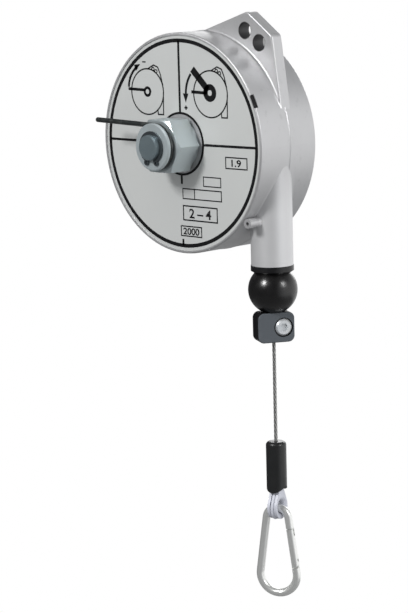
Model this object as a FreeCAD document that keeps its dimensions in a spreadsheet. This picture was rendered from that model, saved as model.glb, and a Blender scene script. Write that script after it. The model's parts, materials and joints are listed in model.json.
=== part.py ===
"""Spring tool balancer for 2 to 4 kg: a cast drum housing that hangs from an eye, with a spring
drum, a 2 m steel rope and a snap hook.

Everything is in millimetres. Pieces round the drum are drawn about the drum's own axis (Y, front
at -Y) and pieces on the rope about the rope (Z). Their placements bring both into the part's
frame, whose origin is the middle of the suspension eye.
"""
import FreeCAD, Part
import math
import os
import re

import Sketcher
from FreeCAD import Placement, Rotation, Vector

SIZES = [
    # bracket at the top of the casting
    ("eye_inset", 19.7, "suspension eye, inwards from the rope"),
    ("eye_rise", 0.6, "suspension eye above the top of the housing"),
    ("eye_r", 5.5, "radius of both eyes"),
    ("safety_step", 12.7, "safety eye, outwards from the suspension eye"),
    ("safety_drop", 8, "safety eye below the suspension eye"),
    ("bracket_peak", 12.8, "peak of the bracket above the suspension eye"),
    ("bracket_edge", 11.4, "outer corner of the bracket beyond the safety eye"),
    ("bracket_foot", 18.6, "foot of the bracket on the round wall in degrees"),
    ("bracket_back", 3.5, "front face of the bracket before the housing's middle"),
    ("bracket_t", 10, "thickness of the bracket"),
    ("peak_corner", 5, "rounding of the bracket's peak"),
    ("low_corner", 4, "rounding of the bracket's outer corner"),
    ("bracket_round", 1.2, "rounding of the bracket's edges"),
    ("bracket_root", 1.5, "fillet where the bracket meets the round wall"),
    # housing casting
    ("drum_room", 8, "from the drum flanges to the round wall"),
    ("side_wall", 3, "thickness of the round wall"),
    ("front_wall", 4, "thickness of the front wall"),
    ("rim_h", 0.8, "height of the rim in front of the label"),
    ("rim_w", 1.8, "width of the rim"),
    ("notch_turn", 24.5, "notch in the rim, up from the right in degrees"),
    ("notch_half", 3.6, "half of the notch in degrees"),
    ("notch_depth", 3, "depth of the notch"),
    ("bead_back", 1, "parting bead behind the housing's middle"),
    ("bead_h", 0.4, "height of the parting bead"),
    ("boss_edge", 1.26, "hub boss on the front wall, beyond the stop pin"),
    ("boss_h", 0.3, "height of the hub boss in front of the label"),
    ("inner_boss_r", 20, "bearing boss inside the front wall"),
    ("boss_end", 4.5, "height of that boss inside"),
    ("label_t", 0.5, "thickness of the label plate"),
    # rope outlet
    ("tube_r", 14.3, "outer radius of the outlet tube"),
    ("tube_wall", 2.9, "wall of the outlet tube"),
    ("tube_bore_end", 10, "end of its bore below the drum's axis"),
    ("tube_below", 5.7, "lower end of the tube below the housing"),
    ("bush_ring_r", 14.6, "black ring under the tube"),
    ("bush_ring_h", 3.7, "height of that ring"),
    ("bush_nose_h", 1.6, "taper below the ring"),
    ("bush_nose_r", 12, "radius of the seat for the ball"),
    ("bush_spigot", 12, "length of the bush inside the tube"),
    ("bush_bore_r", 1.9, "rope hole of the bush"),
    # lock lug beside the tube
    ("lock_out", 3.5, "lock lug, out from the round wall"),
    ("lock_turn", 39.9, "lock lug, down round the housing in degrees"),
    ("lock_r", 3.2, "radius of the lock lug"),
    ("lock_len", 16, "length of the lock lug"),
    ("lock_hole_r", 1.25, "hole in the lock lug"),
    ("lock_hole_depth", 8, "depth of that hole"),
    # rear cover
    ("cover_t", 4, "thickness of the rear cover"),
    ("cover_lip", 1.5, "wall left round the cover"),
    ("cover_boss_r", 16, "bearing boss of the cover"),
    ("cover_boss_in", 4, "height of that boss inside"),
    ("cover_boss_out", 2.5, "height of that boss outside"),
    ("cover_screws", 6, "number of cover screws"),
    ("post_in", 3.3, "cover screws, in from the round wall"),
    ("screw_post_r", 3.7, "posts for the cover screws"),
    ("screw_r", 1.5, "thread radius of the small screws"),
    ("screw_head_r", 2.8, "head radius of the small screws"),
    ("screw_head_h", 1.9, "head height of the small screws"),
    ("screw_len", 10, "length of the small screws under the head"),
    # arbor and adjusting hub
    ("arbor_r", 8.5, "arbor in the hub"),
    ("arbor_front", 32.5, "front end of the arbor before the label"),
    ("arbor_mid_r", 10, "arbor in the drum"),
    ("arbor_tail_r", 8, "arbor in the rear cover"),
    ("arbor_chamfer", 0.8, "chamfer at the front end"),
    ("hex_flats", 35, "hub hexagon across flats"),
    ("hex_front", 22, "front face of the hexagon before the label"),
    ("flange_front", 3, "front face of the hub flange before the label"),
    ("flange_r", 16.5, "hub flange"),
    ("spigot_r", 12.5, "hub spigots, in the bush and in the lever"),
    ("lever_gap", 4, "space for the release lever on the hub"),
    ("collar_r", 16, "collar before the release lever"),
    ("collar_t", 2, "thickness of the collar"),
    ("ring_r", 10.8, "outer radius of the retaining ring"),
    ("ring_t", 1.2, "thickness of the retaining ring"),
    ("ring_groove", 0.9, "depth of its groove"),
    ("ring_ear_r", 2, "ears of the retaining ring"),
    ("ring_ear_turn", 24, "turn of each ear from the gap's middle in degrees"),
    ("key_w", 4, "width of the hub key"),
    ("key_len", 14, "length of the hub key"),
    ("stop_pin_r", 1.3, "radius of the stop pin"),
    ("stop_pin_gap", 0.44, "from the hub flange to the stop pin"),
    ("stop_pin_turn", 76, "stop pin, down from the right in degrees"),
    ("lever_wire_r", 1.7, "wire of the release lever"),
    ("lever_len", 56.7, "tail of the release lever"),
    ("lever_tilt", 1.8, "slope of that tail in degrees"),
    # drum
    ("rope_d", 2.5, "rope"),
    ("drum_core_r", 58.25, "rope seat of the drum"),
    ("drum_wall", 5, "wall of the drum"),
    ("drum_flange_h", 5.75, "height of the rope flanges"),
    ("drum_flange_t", 2, "thickness of those flanges"),
    ("drum_web", 3, "front web of the drum"),
    ("drum_len", 31, "length of the drum cup"),
    ("band_in", 14, "middle of the rope winding, in from the drum's front"),
    ("band_w", 15.6, "width of the rope winding"),
    ("drum_hub_r", 16, "hubs of the drum and its cover"),
    ("drum_hub_len", 4, "length of those hubs"),
    ("drum_screws", 4, "number of drum cover screws"),
    ("bush_wall", 2.45, "wall of the drum bushes"),
    ("washer_t", 0.9, "thrust washers"),
    ("washer_r", 15.5, "outer radius of the thrust washers"),
    ("anchor_r", 2.5, "rope end ferrule in the drum"),
    # power spring
    ("strip_t", 0.8, "thickness of the spring strip"),
    ("strip_w", 24, "width of the spring strip"),
    ("strip_back", 1, "strip behind the front hub of the drum"),
    ("strip_pitch", 2, "spacing of the outer turns"),
    ("strip_turns", 6, "outer turns"),
    ("strip_loose", 2, "loose turns towards the arbor"),
    ("rivet_r", 2, "rivet of the spring's outer end"),
    ("hook_w", 1, "thickness of the spring's inner hook"),
    ("hook_depth", 3.2, "depth of that hook in the arbor"),
    # ball buffer and rope clamp
    ("ball_r", 16.75, "ball buffer"),
    ("ball_top", 11.5, "flat top above the ball's middle"),
    ("ball_foot", 14.8, "flat foot below the ball's middle"),
    ("clamp_w", 25.8, "width of the rope clamp"),
    ("clamp_h", 20.6, "height of the rope clamp"),
    ("clamp_t", 13.5, "thickness of the rope clamp"),
    ("clamp_round", 4.4, "corner radius of the clamp"),
    ("clamp_edge", 1, "rounding of its edges"),
    ("clamp_face_t", 4.2, "thickness of the grey front part"),
    ("clamp_turn", 60, "turn of the clamp about the rope in degrees"),
    ("clamp_screw_x", 5.1, "clamp screw beside the rope"),
    ("clamp_screw_r", 3, "clamp screw"),
    ("clamp_head_r", 5.85, "head of the clamp screw"),
    ("clamp_head_h", 3.6, "height of that head"),
    ("clamp_sink", 3, "depth of its recess"),
    ("clamp_nut_r", 5.75, "clamp nut over its corners"),
    ("clamp_nut_h", 4.5, "height of the clamp nut"),
    ("clamp_ring_gap", 0.8, "recess round the screw head"),
    # rope end
    ("rope_free", 69.45, "rope between the clamp and the sleeve"),
    ("sleeve_len", 35.2, "length of the sleeve"),
    ("sleeve_r", 7, "radius of the sleeve"),
    ("sleeve_round", 2.6, "rounding of its upper end"),
    ("sleeve_head", 3, "from its upper end to the ferrule"),
    ("sleeve_notch", 5, "depth of the notch in its lower end"),
    ("ferrule_r", 3.6, "pressed ferrule in the sleeve"),
    ("ferrule_len", 18, "length of the ferrule"),
    ("leg_x", 1.5, "legs of the rope eye beside the rope"),
    # thimble
    ("thimble_below", 10.8, "middle of the thimble below the sleeve"),
    ("thimble_r", 8.3, "radius of the thimble"),
    ("thimble_t", 7, "thickness of the thimble"),
    ("thimble_up", 18.7, "point of the thimble above its middle"),
    ("thimble_eye_r", 4.3, "eye of the thimble"),
    ("thimble_eye_up", 0.4, "eye of the thimble above its middle"),
    ("thimble_turn", 14.5, "turn of the thimble about the rope in degrees"),
    ("groove_w", 3.1, "rope groove of the thimble"),
    ("groove_floor_r", 5.8, "radius of the groove's floor"),
    # snap hook
    ("hook_r", 2.75, "wire of the snap hook"),
    ("hook_top_r", 8, "upper bend of the hook, at the middle of the wire"),
    ("hook_low_r", 13.3, "lower bend of the hook"),
    ("hook_span", 39.3, "distance between the two bends"),
    ("hook_turn", 22.5, "turn of the hook about the rope in degrees"),
    ("gate_start", 7.7, "upper end of the gate on the hook's arm"),
    ("gate_pin_at", 32, "gate pin on the hook's arm"),
    ("gate_gap", 0.5, "gap at both ends of the gate"),
    ("gate_spring_len", 6.9, "length of the gate's spring"),
    ("gate_spring_r", 1.25, "radius of the gate's spring"),
    ("tongue_t", 2, "tongues of the hook in the gate's slots"),
    ("tongue_len", 4.3, "upper tongue in the gate"),
    ("gate_pin_r", 1, "gate pin"),
    # clearances
    ("run_gap", 0.05, "radial clearance of what turns"),
    ("seat_gap", 0.02, "clearance of what is pressed in"),
    ("part_gap", 0.3, "clearance between plain neighbours"),
]

doc = FreeCAD.newDocument("ToolBalancer")
sheet = doc.addObject("Spreadsheet::Sheet", "Sizes")
for row, (alias, value, note) in enumerate(SIZES, start=1):
    sheet.set("A%d" % row, note)
    sheet.set("B%d" % row, str(value))
    sheet.setAlias("B%d" % row, alias)
doc.recompute()

NAMES = {alias for alias, _, _ in SIZES}
MADE = []


def size(alias):
    """The value of a cell of the sheet."""
    return float(sheet.get(alias))


def formula(text):
    """An expression on the sheet, from one that uses the bare aliases."""
    return re.sub(
        r"[a-z][a-z_0-9]*",
        lambda word: "Sizes." + word[0] if word[0] in NAMES else word[0],
        str(text),
    )


# ---------------------------------------------------------------- where things are
# Derived places, as expressions on the sheet.
FLANGE_R = "(drum_core_r + drum_flange_h)"
CAVITY_R = "(%s + drum_room)" % FLANGE_R
BODY_R = "(%s + side_wall)" % CAVITY_R
RECESS_R = "(%s - rim_w)" % BODY_R
SCREWS_R = "(%s - post_in)" % CAVITY_R
STOP_R = "(flange_r + stop_pin_gap + stop_pin_r)"
STOP_X = "(%s * cos(stop_pin_turn))" % STOP_R
STOP_Z = "(-%s * sin(stop_pin_turn))" % STOP_R
BOSS_R = "(%s + stop_pin_r + boss_edge)" % STOP_R
INNER_Y = "(label_t + front_wall)"
BOSS_Y = "(%s + boss_end)" % INNER_Y
DRUM_Y = "(%s + washer_t + 2 * run_gap)" % BOSS_Y
DRUM_END_Y = "(%s + drum_len)" % DRUM_Y
DRUM_BACK_Y = "(%s + drum_web)" % DRUM_END_Y
TAIL_Y = "(%s + washer_t + 2 * run_gap)" % DRUM_BACK_Y
COVER_Y = "(%s + cover_boss_in)" % TAIL_Y
BODY_Y = "(%s + cover_t)" % COVER_Y
ARBOR_Y = "(%s - cover_t / 2)" % BODY_Y
BAND_Y = "(%s + band_in)" % DRUM_Y
BAND_LOW = "(%s - band_w / 2)" % BAND_Y
BAND_HIGH = "(%s + band_w / 2)" % BAND_Y
BEAD_Y = "(%s / 2 + bead_back)" % BODY_Y
BRACKET_Y = "(%s / 2 - bracket_back)" % BODY_Y
MID_Y = "(%s + bracket_t / 2)" % BRACKET_Y
ROPE_X = "(drum_core_r + rope_d / 2)"
EYE_X = "(%s - eye_inset)" % ROPE_X
EYE_Z = "(%s + eye_rise)" % BODY_R
SAFETY_X = "(%s + safety_step)" % EYE_X
SAFETY_Z = "(%s - safety_drop)" % EYE_Z
LOCK_X = "((%s + lock_out) * cos(lock_turn))" % BODY_R
LOCK_Z = "(-(%s + lock_out) * sin(lock_turn))" % BODY_R
TUBE_DROP = "(%s + tube_below)" % BODY_R
BUSH_R = "(arbor_mid_r + run_gap + bush_wall)"
BUSH_END_Z = "(-%s - bush_ring_h - bush_nose_h)" % TUBE_DROP
BALL_Z = "(%s - run_gap - ball_top)" % BUSH_END_Z
CLAMP_Z = "(%s - ball_foot - part_gap - clamp_h / 2)" % BALL_Z
SLEEVE_Z = "(%s - clamp_h / 2 - rope_free)" % CLAMP_Z
THIMBLE_Z = "(%s - sleeve_len - thimble_below)" % SLEEVE_Z
CHAMBER_R = "(drum_core_r - drum_wall)"
STRIP_Y = "(%s + drum_hub_len + strip_back)" % DRUM_Y
HEAD_Z = "(%s - sleeve_head)" % SLEEVE_Z
COLLAR_Y = "(-hex_front - lever_gap - collar_t)"
HOOK_TOP_Z = "(%s + thimble_eye_up - thimble_eye_r + hook_r + part_gap)" % THIMBLE_Z

DRUM_FRAME = ("-" + EYE_X, "-" + MID_Y, "-" + EYE_Z)
ROPE_FRAME = ("eye_inset", "%s - %s" % (BAND_Y, MID_Y), "-" + EYE_Z)
CLAMP_FRAME = ROPE_FRAME[:2] + ("%s - %s" % (CLAMP_Z, EYE_Z),)
SLEEVE_FRAME = ROPE_FRAME[:2] + ("%s - %s" % (SLEEVE_Z, EYE_Z),)
THIMBLE_FRAME = ROPE_FRAME[:2] + ("%s - %s" % (THIMBLE_Z, EYE_Z),)
HOOK_FRAME = ROPE_FRAME[:2] + ("%s - %s" % (HOOK_TOP_Z, EYE_Z),)


def number(text):
    """The value of such an expression, read back through a scratch cell of the sheet."""
    sheet.set("D1", "=" + formula(text).replace("Sizes.", ""))
    sheet.recompute()
    return float(sheet.get("D1"))


def place(thing, frame, turn=None, axis=Vector(0, 0, 1)):
    """Puts a piece in its frame, turned about that frame's axis by the cell called turn."""
    if turn:
        thing.Placement = Placement(Vector(), Rotation(axis, 1))
        thing.setExpression("Placement.Rotation.Angle", formula(turn))
    for way, text in zip("xyz", frame):
        thing.setExpression("Placement.Base." + way, formula(text))
    MADE.append(thing)
    return thing


# ---------------------------------------------------------------- drawing
PLANES = {"Y": "XY_Plane", "Z": "XZ_Plane"}


def origin_plane(body, role):
    return next(f for f in body.Origin.OriginFeatures if f.Role == role)


def new_body(label):
    body = doc.addObject("PartDesign::Body", label)
    body.Label = label
    return body


def new_sketch(body, role, name, offset=None):
    sketch = body.newObject("Sketcher::SketchObject", body.Label + "_" + name + "_sketch")
    sketch.AttachmentSupport = [(origin_plane(body, role), "")]
    sketch.MapMode = "FlatFace"
    if offset is not None:
        sketch.setExpression("AttachmentOffset.Base.z", formula(offset))
    return sketch


def fix_point(sketch, item, point, x, y):
    """Ties a point of a sketch to the expressions of its two coordinates."""
    for kind, text, axis in (("DistanceX", x, -2), ("DistanceY", y, -1)):
        if str(text) == "0":
            sketch.addConstraint(Sketcher.Constraint("PointOnObject", item, point, axis))
        else:
            made = sketch.addConstraint(Sketcher.Constraint(kind, -1, 1, item, point, 1.0))
            sketch.setExpression("Constraints[%d]" % made, formula(text))


def outline(sketch, points):
    """A closed run of straight lines through points given as expressions."""
    corners = [Vector(number(x), number(y), 0) for x, y in points]
    first = sketch.GeometryCount
    count = len(points)
    for i in range(count):
        sketch.addGeometry(Part.LineSegment(corners[i], corners[(i + 1) % count]), False)
    for i in range(count):
        nxt = first + (i + 1) % count
        sketch.addConstraint(Sketcher.Constraint("Coincident", first + i, 2, nxt, 1))
    for i, (x, y) in enumerate(points):
        fix_point(sketch, first + i, 1, x, y)


def circle(sketch, x, y, radius):
    start = Part.Circle(Vector(number(x), number(y), 0), Vector(0, 0, 1), number(radius))
    item = sketch.addGeometry(start, False)
    fix_point(sketch, item, 3, x, y)
    made = sketch.addConstraint(Sketcher.Constraint("Radius", item, 1.0))
    sketch.setExpression("Constraints[%d]" % made, formula(radius))


def box(sketch, x0, y0, x1, y1):
    outline(sketch, [(x0, y0), (x1, y0), (x1, y1), (x0, y1)])


def revolve(body, name, points, axis="Y", cut=False):
    """A ring from points (radius, place along the axis), added to a body or cut from it."""
    sketch = new_sketch(body, PLANES[axis], name)
    outline(sketch, points)
    kind = "PartDesign::Groove" if cut else "PartDesign::Revolution"
    feature = body.newObject(kind, body.Label + "_" + name)
    feature.Profile = sketch
    feature.ReferenceAxis = (sketch, ["V_Axis"])
    feature.Angle = 360
    sketch.Visibility = False
    return feature


def extrude(body, name, role, draw, start, length, cut=False):
    """A prism drawn at start along the plane's axis, going length towards +Y, +Z or +X."""
    away = role == "XZ_Plane"
    sketch = new_sketch(body, role, name, "-(%s)" % start if away else start)
    draw(sketch)
    kind = "PartDesign::Pocket" if cut else "PartDesign::Pad"
    feature = body.newObject(kind, body.Label + "_" + name)
    feature.Profile = sketch
    feature.setExpression("Length", formula(length))
    feature.Reversed = away != cut
    sketch.Visibility = False
    return feature


def repeat(body, name, features, count):
    """Copies features evenly round the drum axis."""
    pattern = body.newObject("PartDesign::PolarPattern", body.Label + "_" + name)
    pattern.Originals = features
    pattern.Axis = (origin_plane(body, "Y_Axis"), [""])
    pattern.Angle = 360
    pattern.setExpression("Occurrences", formula(count))
    body.Tip = pattern
    return pattern


def dress(body, name, kind, radius, test):
    """A fillet or chamfer on the edges of the body that pass the test."""
    doc.recompute()
    tip = body.Tip
    edges = ["Edge%d" % i for i, e in enumerate(tip.Shape.Edges, start=1) if test(e)]
    if not edges:
        raise ValueError("no edge for %s of %s" % (name, body.Label))
    feature = body.newObject("PartDesign::" + kind, body.Label + "_" + name)
    feature.Base = (tip, edges)
    feature.setExpression("Radius" if kind == "Fillet" else "Size", formula(radius))
    return feature


def ring_edge(radius, y):
    """A test for the full circle of that radius round the drum axis, at that depth."""

    def test(edge):
        curve = edge.Curve
        round_it = isinstance(curve, Part.Circle) and abs(curve.Radius - radius) < 1e-4
        return round_it and abs(curve.Center.y - y) < 1e-4 and curve.Center.x ** 2 < 1e-6

    return test


def edge_along_y(x, z):
    """A test for the straight edge along Y through that point."""

    def test(edge):
        box_ = edge.BoundBox
        long_ = box_.YLength > 1 and box_.XLength < 1e-3 and box_.ZLength < 1e-3
        return long_ and abs(box_.XMin - x) < 1e-3 and abs(box_.ZMin - z) < 1e-3

    return test


def ring(label, points, axis="Y", frame=DRUM_FRAME):
    """A piece that is one turned ring."""
    body = new_body(label)
    revolve(body, "turned", points, axis)
    return place(body, frame)


def tube_of(label, inner, outer, start, end, axis="Y", frame=DRUM_FRAME):
    points = [(inner, start), (outer, start), (outer, end), (inner, end)]
    return ring(label, points, axis, frame)


def feature(label, shape, frame, turn=None, axis=Vector(0, 0, 1)):
    """A piece whose shape comes from Part's own functions."""
    thing = doc.addObject("Part::Feature", label)
    thing.Label = label
    thing.Shape = shape
    return place(thing, frame, turn, axis)


def cylinder(radius, length, base, way):
    return Part.makeCylinder(radius, length, base, way)


def block(x0, x1, y0, y1, z0, z1):
    return Part.makeBox(x1 - x0, y1 - y0, z1 - z0, Vector(x0, y0, z0))


# ---------------------------------------------------------------- housing
BRACKET = [
    ("-bracket_t / 5", BODY_R + " - 0.6"),
    (EYE_X + " + 2.4", EYE_Z + " + bracket_peak"),
    (SAFETY_X + " + bracket_edge", SAFETY_Z + " + eye_r - 0.5"),
    (BODY_R + " * cos(bracket_foot)", BODY_R + " * sin(bracket_foot)"),
    ("drum_core_r / 3", "drum_core_r / 3"),
]


def on_bracket_face(edge):
    """Whether an edge lies in the front or rear face of the bracket."""
    faces = (number(BRACKET_Y), number(BRACKET_Y + " + bracket_t"))
    box_ = edge.BoundBox
    return box_.YLength < 1e-4 and min(abs(box_.YMin - y) for y in faces) < 1e-4


def beyond_wall(edge):
    """How far the middle of an edge lies outside the round wall."""
    middle = edge.valueAt((edge.FirstParameter + edge.LastParameter) / 2)
    return math.hypot(middle.x, middle.z) - number(BODY_R)


def bracket_edge(edge):
    return on_bracket_face(edge) and beyond_wall(edge) > 0.05


def root_edge(edge):
    return on_bracket_face(edge) and abs(beyond_wall(edge)) < 1e-3


def make_housing():
    """The casting: front wall, rim and round wall, bracket with two eyes, outlet tube, lock lug
    and the bosses for the bearings and the cover screws."""
    body = new_body("housing_casting")
    revolve(
        body,
        "shell",
        [
            ("0", "-boss_h"),
            (BOSS_R, "-boss_h"),
            (BOSS_R, "label_t"),
            (RECESS_R, "label_t"),
            (RECESS_R, "-rim_h"),
            (BODY_R, "-rim_h"),
            (BODY_R, BEAD_Y + " - 2 * bead_h"),
            (BODY_R + " + bead_h", BEAD_Y),
            (BODY_R, BEAD_Y + " + 2 * bead_h"),
            (BODY_R, BODY_Y),
            ("0", BODY_Y),
        ],
    )
    dress(body, "rim_round", "Fillet", "rim_w * 0.6", ring_edge(number(BODY_R), -size("rim_h")))
    dress(body, "rear_round", "Fillet", "cover_lip * 0.8", ring_edge(number(BODY_R), number(BODY_Y)))
    extrude(body, "bracket", "XZ_Plane", lambda s: outline(s, BRACKET), BRACKET_Y, "bracket_t")
    for name, corner in (("peak_corner", BRACKET[1]), ("low_corner", BRACKET[2])):
        test = edge_along_y(number(corner[0]), number(corner[1]))
        dress(body, name, "Fillet", name, test)
    dress(body, "bracket_edges", "Fillet", "bracket_round", bracket_edge)
    dress(body, "bracket_root_edges", "Fillet", "bracket_root", root_edge)
    extrude(
        body, "tube", "XY_Plane", lambda s: circle(s, ROPE_X, BAND_Y, "tube_r"),
        "-" + TUBE_DROP, TUBE_DROP,
    )
    extrude(
        body, "lock_lug", "XZ_Plane", lambda s: circle(s, LOCK_X, LOCK_Z, "lock_r"),
        "-boss_h", "lock_len",
    )
    revolve(
        body,
        "cavity",
        [
            ("0", INNER_Y),
            (CAVITY_R, INNER_Y),
            (CAVITY_R, COVER_Y),
            (BODY_R + " - cover_lip", COVER_Y),
            (BODY_R + " - cover_lip", BODY_Y + " + 1"),
            ("0", BODY_Y + " + 1"),
        ],
        cut=True,
    )
    extrude(
        body, "bearing_boss", "XZ_Plane", lambda s: circle(s, "0", "0", "inner_boss_r"),
        INNER_Y + " - 0.5", "boss_end + 0.5",
    )
    post = extrude(
        body, "post", "XZ_Plane", lambda s: circle(s, SCREWS_R, "0", "screw_post_r"),
        INNER_Y + " - 0.5", COVER_Y + " - %s + 0.5" % INNER_Y,
    )
    hole = extrude(
        body, "post_hole", "XZ_Plane", lambda s: circle(s, SCREWS_R, "0", "screw_r"),
        COVER_Y + " - screw_len", "screw_len", cut=True,
    )
    repeat(body, "posts", [post, hole], "cover_screws")
    extrude(
        body, "tube_bore", "XY_Plane",
        lambda s: circle(s, ROPE_X, BAND_Y, "tube_r - tube_wall"),
        "-" + TUBE_DROP, TUBE_DROP + " - tube_bore_end", cut=True,
    )
    extrude(
        body, "bearing_bore", "XZ_Plane",
        lambda s: circle(s, "0", "0", "spigot_r + run_gap + bush_wall + seat_gap"),
        "-boss_h", BOSS_Y + " + boss_h", cut=True,
    )
    for name, x, z in (("eye", EYE_X, EYE_Z), ("safety_eye", SAFETY_X, SAFETY_Z)):
        extrude(
            body, name, "XZ_Plane", lambda s, x=x, z=z: circle(s, x, z, "eye_r"),
            BRACKET_Y, "bracket_t", cut=True,
        )
    extrude(
        body, "lock_hole", "XZ_Plane", lambda s: circle(s, LOCK_X, LOCK_Z, "lock_hole_r"),
        "-boss_h", "lock_hole_depth", cut=True,
    )
    extrude(
        body, "stop_hole", "XZ_Plane",
        lambda s: circle(s, STOP_X, STOP_Z, "stop_pin_r + seat_gap"),
        "-boss_h", "front_wall", cut=True,
    )
    reach = (BODY_R + " - rim_w + 0.2", BODY_R + " + 1")
    turns = ("(notch_turn - notch_half)", "(notch_turn + notch_half)")
    corners = [(reach[0], turns[0]), (reach[1], turns[0]), (reach[1], turns[1]), (reach[0], turns[1])]
    notch = [("(%s) * cos(%s)" % corner, "(%s) * sin(%s)" % corner) for corner in corners]
    extrude(
        body, "rim_notch", "XZ_Plane", lambda s: outline(s, notch), "-rim_h", "notch_depth", cut=True
    )
    place(body, DRUM_FRAME)


def make_cover():
    body = new_body("rear_cover")
    bore_end = ARBOR_Y + " + 0.5"
    revolve(
        body,
        "disc",
        [
            ("arbor_tail_r + run_gap + bush_wall + seat_gap", TAIL_Y),
            ("cover_boss_r", TAIL_Y),
            ("cover_boss_r", COVER_Y),
            (BODY_R + " - cover_lip - seat_gap", COVER_Y),
            (BODY_R + " - cover_lip - seat_gap", BODY_Y),
            ("cover_boss_r + cover_boss_out", BODY_Y),
            ("cover_boss_r", BODY_Y + " + cover_boss_out"),
            ("0", BODY_Y + " + cover_boss_out"),
            ("0", bore_end),
            ("arbor_tail_r + run_gap + bush_wall + seat_gap", bore_end),
        ],
    )
    hole = extrude(
        body, "hole", "XZ_Plane",
        lambda s: circle(s, SCREWS_R, "0", "screw_r + part_gap / 2"),
        COVER_Y, "cover_t", cut=True,
    )
    sink = extrude(
        body, "sink", "XZ_Plane",
        lambda s: circle(s, SCREWS_R, "0", "screw_head_r + part_gap / 2"),
        BODY_Y + " - screw_head_h", "screw_head_h", cut=True,
    )
    repeat(body, "holes", [hole, sink], "cover_screws")
    place(body, DRUM_FRAME)


def screw(head_y, shank_len):
    """A small pan-head screw along Y, its head's bearing face at head_y, with a hex socket."""
    head_h, head_r = size("screw_head_h"), size("screw_head_r")
    profile = [(0, -shank_len), (size("screw_r") - size("seat_gap"), -shank_len)]
    profile += [(size("screw_r") - size("seat_gap"), 0), (head_r, 0), (head_r, head_h * 0.6)]
    profile += [(head_r * 0.7, head_h), (0, head_h)]
    wire = Part.makePolygon([Vector(r, head_y + y, 0) for r, y in profile + profile[:1]])
    solid = Part.Face(wire).revolve(Vector(), Vector(0, 1, 0), 360)
    socket = hexagon(head_r * 0.5, head_y + head_h * 0.4, head_h)
    return solid.cut(socket)


def hexagon(corner_r, y, depth, x=0.0):
    """A hexagonal prism along Y with a corner towards +X."""
    turns = [math.radians(60 * i) for i in range(7)]
    points = [Vector(x + corner_r * math.cos(t), y, corner_r * math.sin(t)) for t in turns]
    return Part.Face(Part.makePolygon(points)).extrude(Vector(0, depth, 0))


def round_the_drum(solid, radius, count, first=0.0):
    """Copies of a solid at even angles on a circle round the drum axis."""
    copies = []
    for i in range(count):
        copy = solid.copy()
        turn = math.radians(first + 360.0 * i / count)
        copy.translate(Vector(radius * math.cos(turn), 0, radius * math.sin(turn)))
        copies.append(copy)
    return Part.makeCompound(copies)


def pin_front(edge):
    """The front edge of the stop pin."""
    return edge.BoundBox.YMax < number("part_gap - flange_front + 0.01")


def make_housing_fittings():
    head_y = number(BODY_Y) - size("screw_head_h")
    shank = number("screw_len + cover_t - screw_head_h - 0.5")
    screws = round_the_drum(screw(head_y, shank), number(SCREWS_R), int(size("cover_screws")))
    feature("rear_cover_screws", screws, DRUM_FRAME)
    tube_of("label_plate", BOSS_R + " + seat_gap", RECESS_R + " - seat_gap", "0", "label_t")
    tube_of("front_bush", "spigot_r + run_gap", "spigot_r + run_gap + bush_wall", "-boss_h", BOSS_Y)
    tube_of(
        "rear_bush", "arbor_tail_r + run_gap", "arbor_tail_r + run_gap + bush_wall",
        TAIL_Y, ARBOR_Y,
    )
    pin = new_body("stop_pin")
    extrude(
        pin, "pin", "XZ_Plane", lambda s: circle(s, STOP_X, STOP_Z, "stop_pin_r"),
        "part_gap - flange_front", "flange_front + front_wall - 2 * part_gap - boss_h",
    )
    dress(pin, "dome", "Fillet", "stop_pin_r * 0.8", pin_front)
    place(pin, DRUM_FRAME)
    ring(
        "outlet_bush",
        [
            ("bush_bore_r", BUSH_END_Z),
            ("bush_nose_r", BUSH_END_Z),
            ("bush_ring_r", "-%s - bush_ring_h" % TUBE_DROP),
            ("bush_ring_r", "-" + TUBE_DROP),
            ("tube_r - tube_wall - seat_gap", "-" + TUBE_DROP),
            ("tube_r - tube_wall - seat_gap", "bush_spigot - " + TUBE_DROP),
            ("tube_r - tube_wall - 2", "bush_spigot - " + TUBE_DROP),
            ("bush_bore_r", "-" + TUBE_DROP),
        ],
        "Z",
        ROPE_FRAME,
    )


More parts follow.
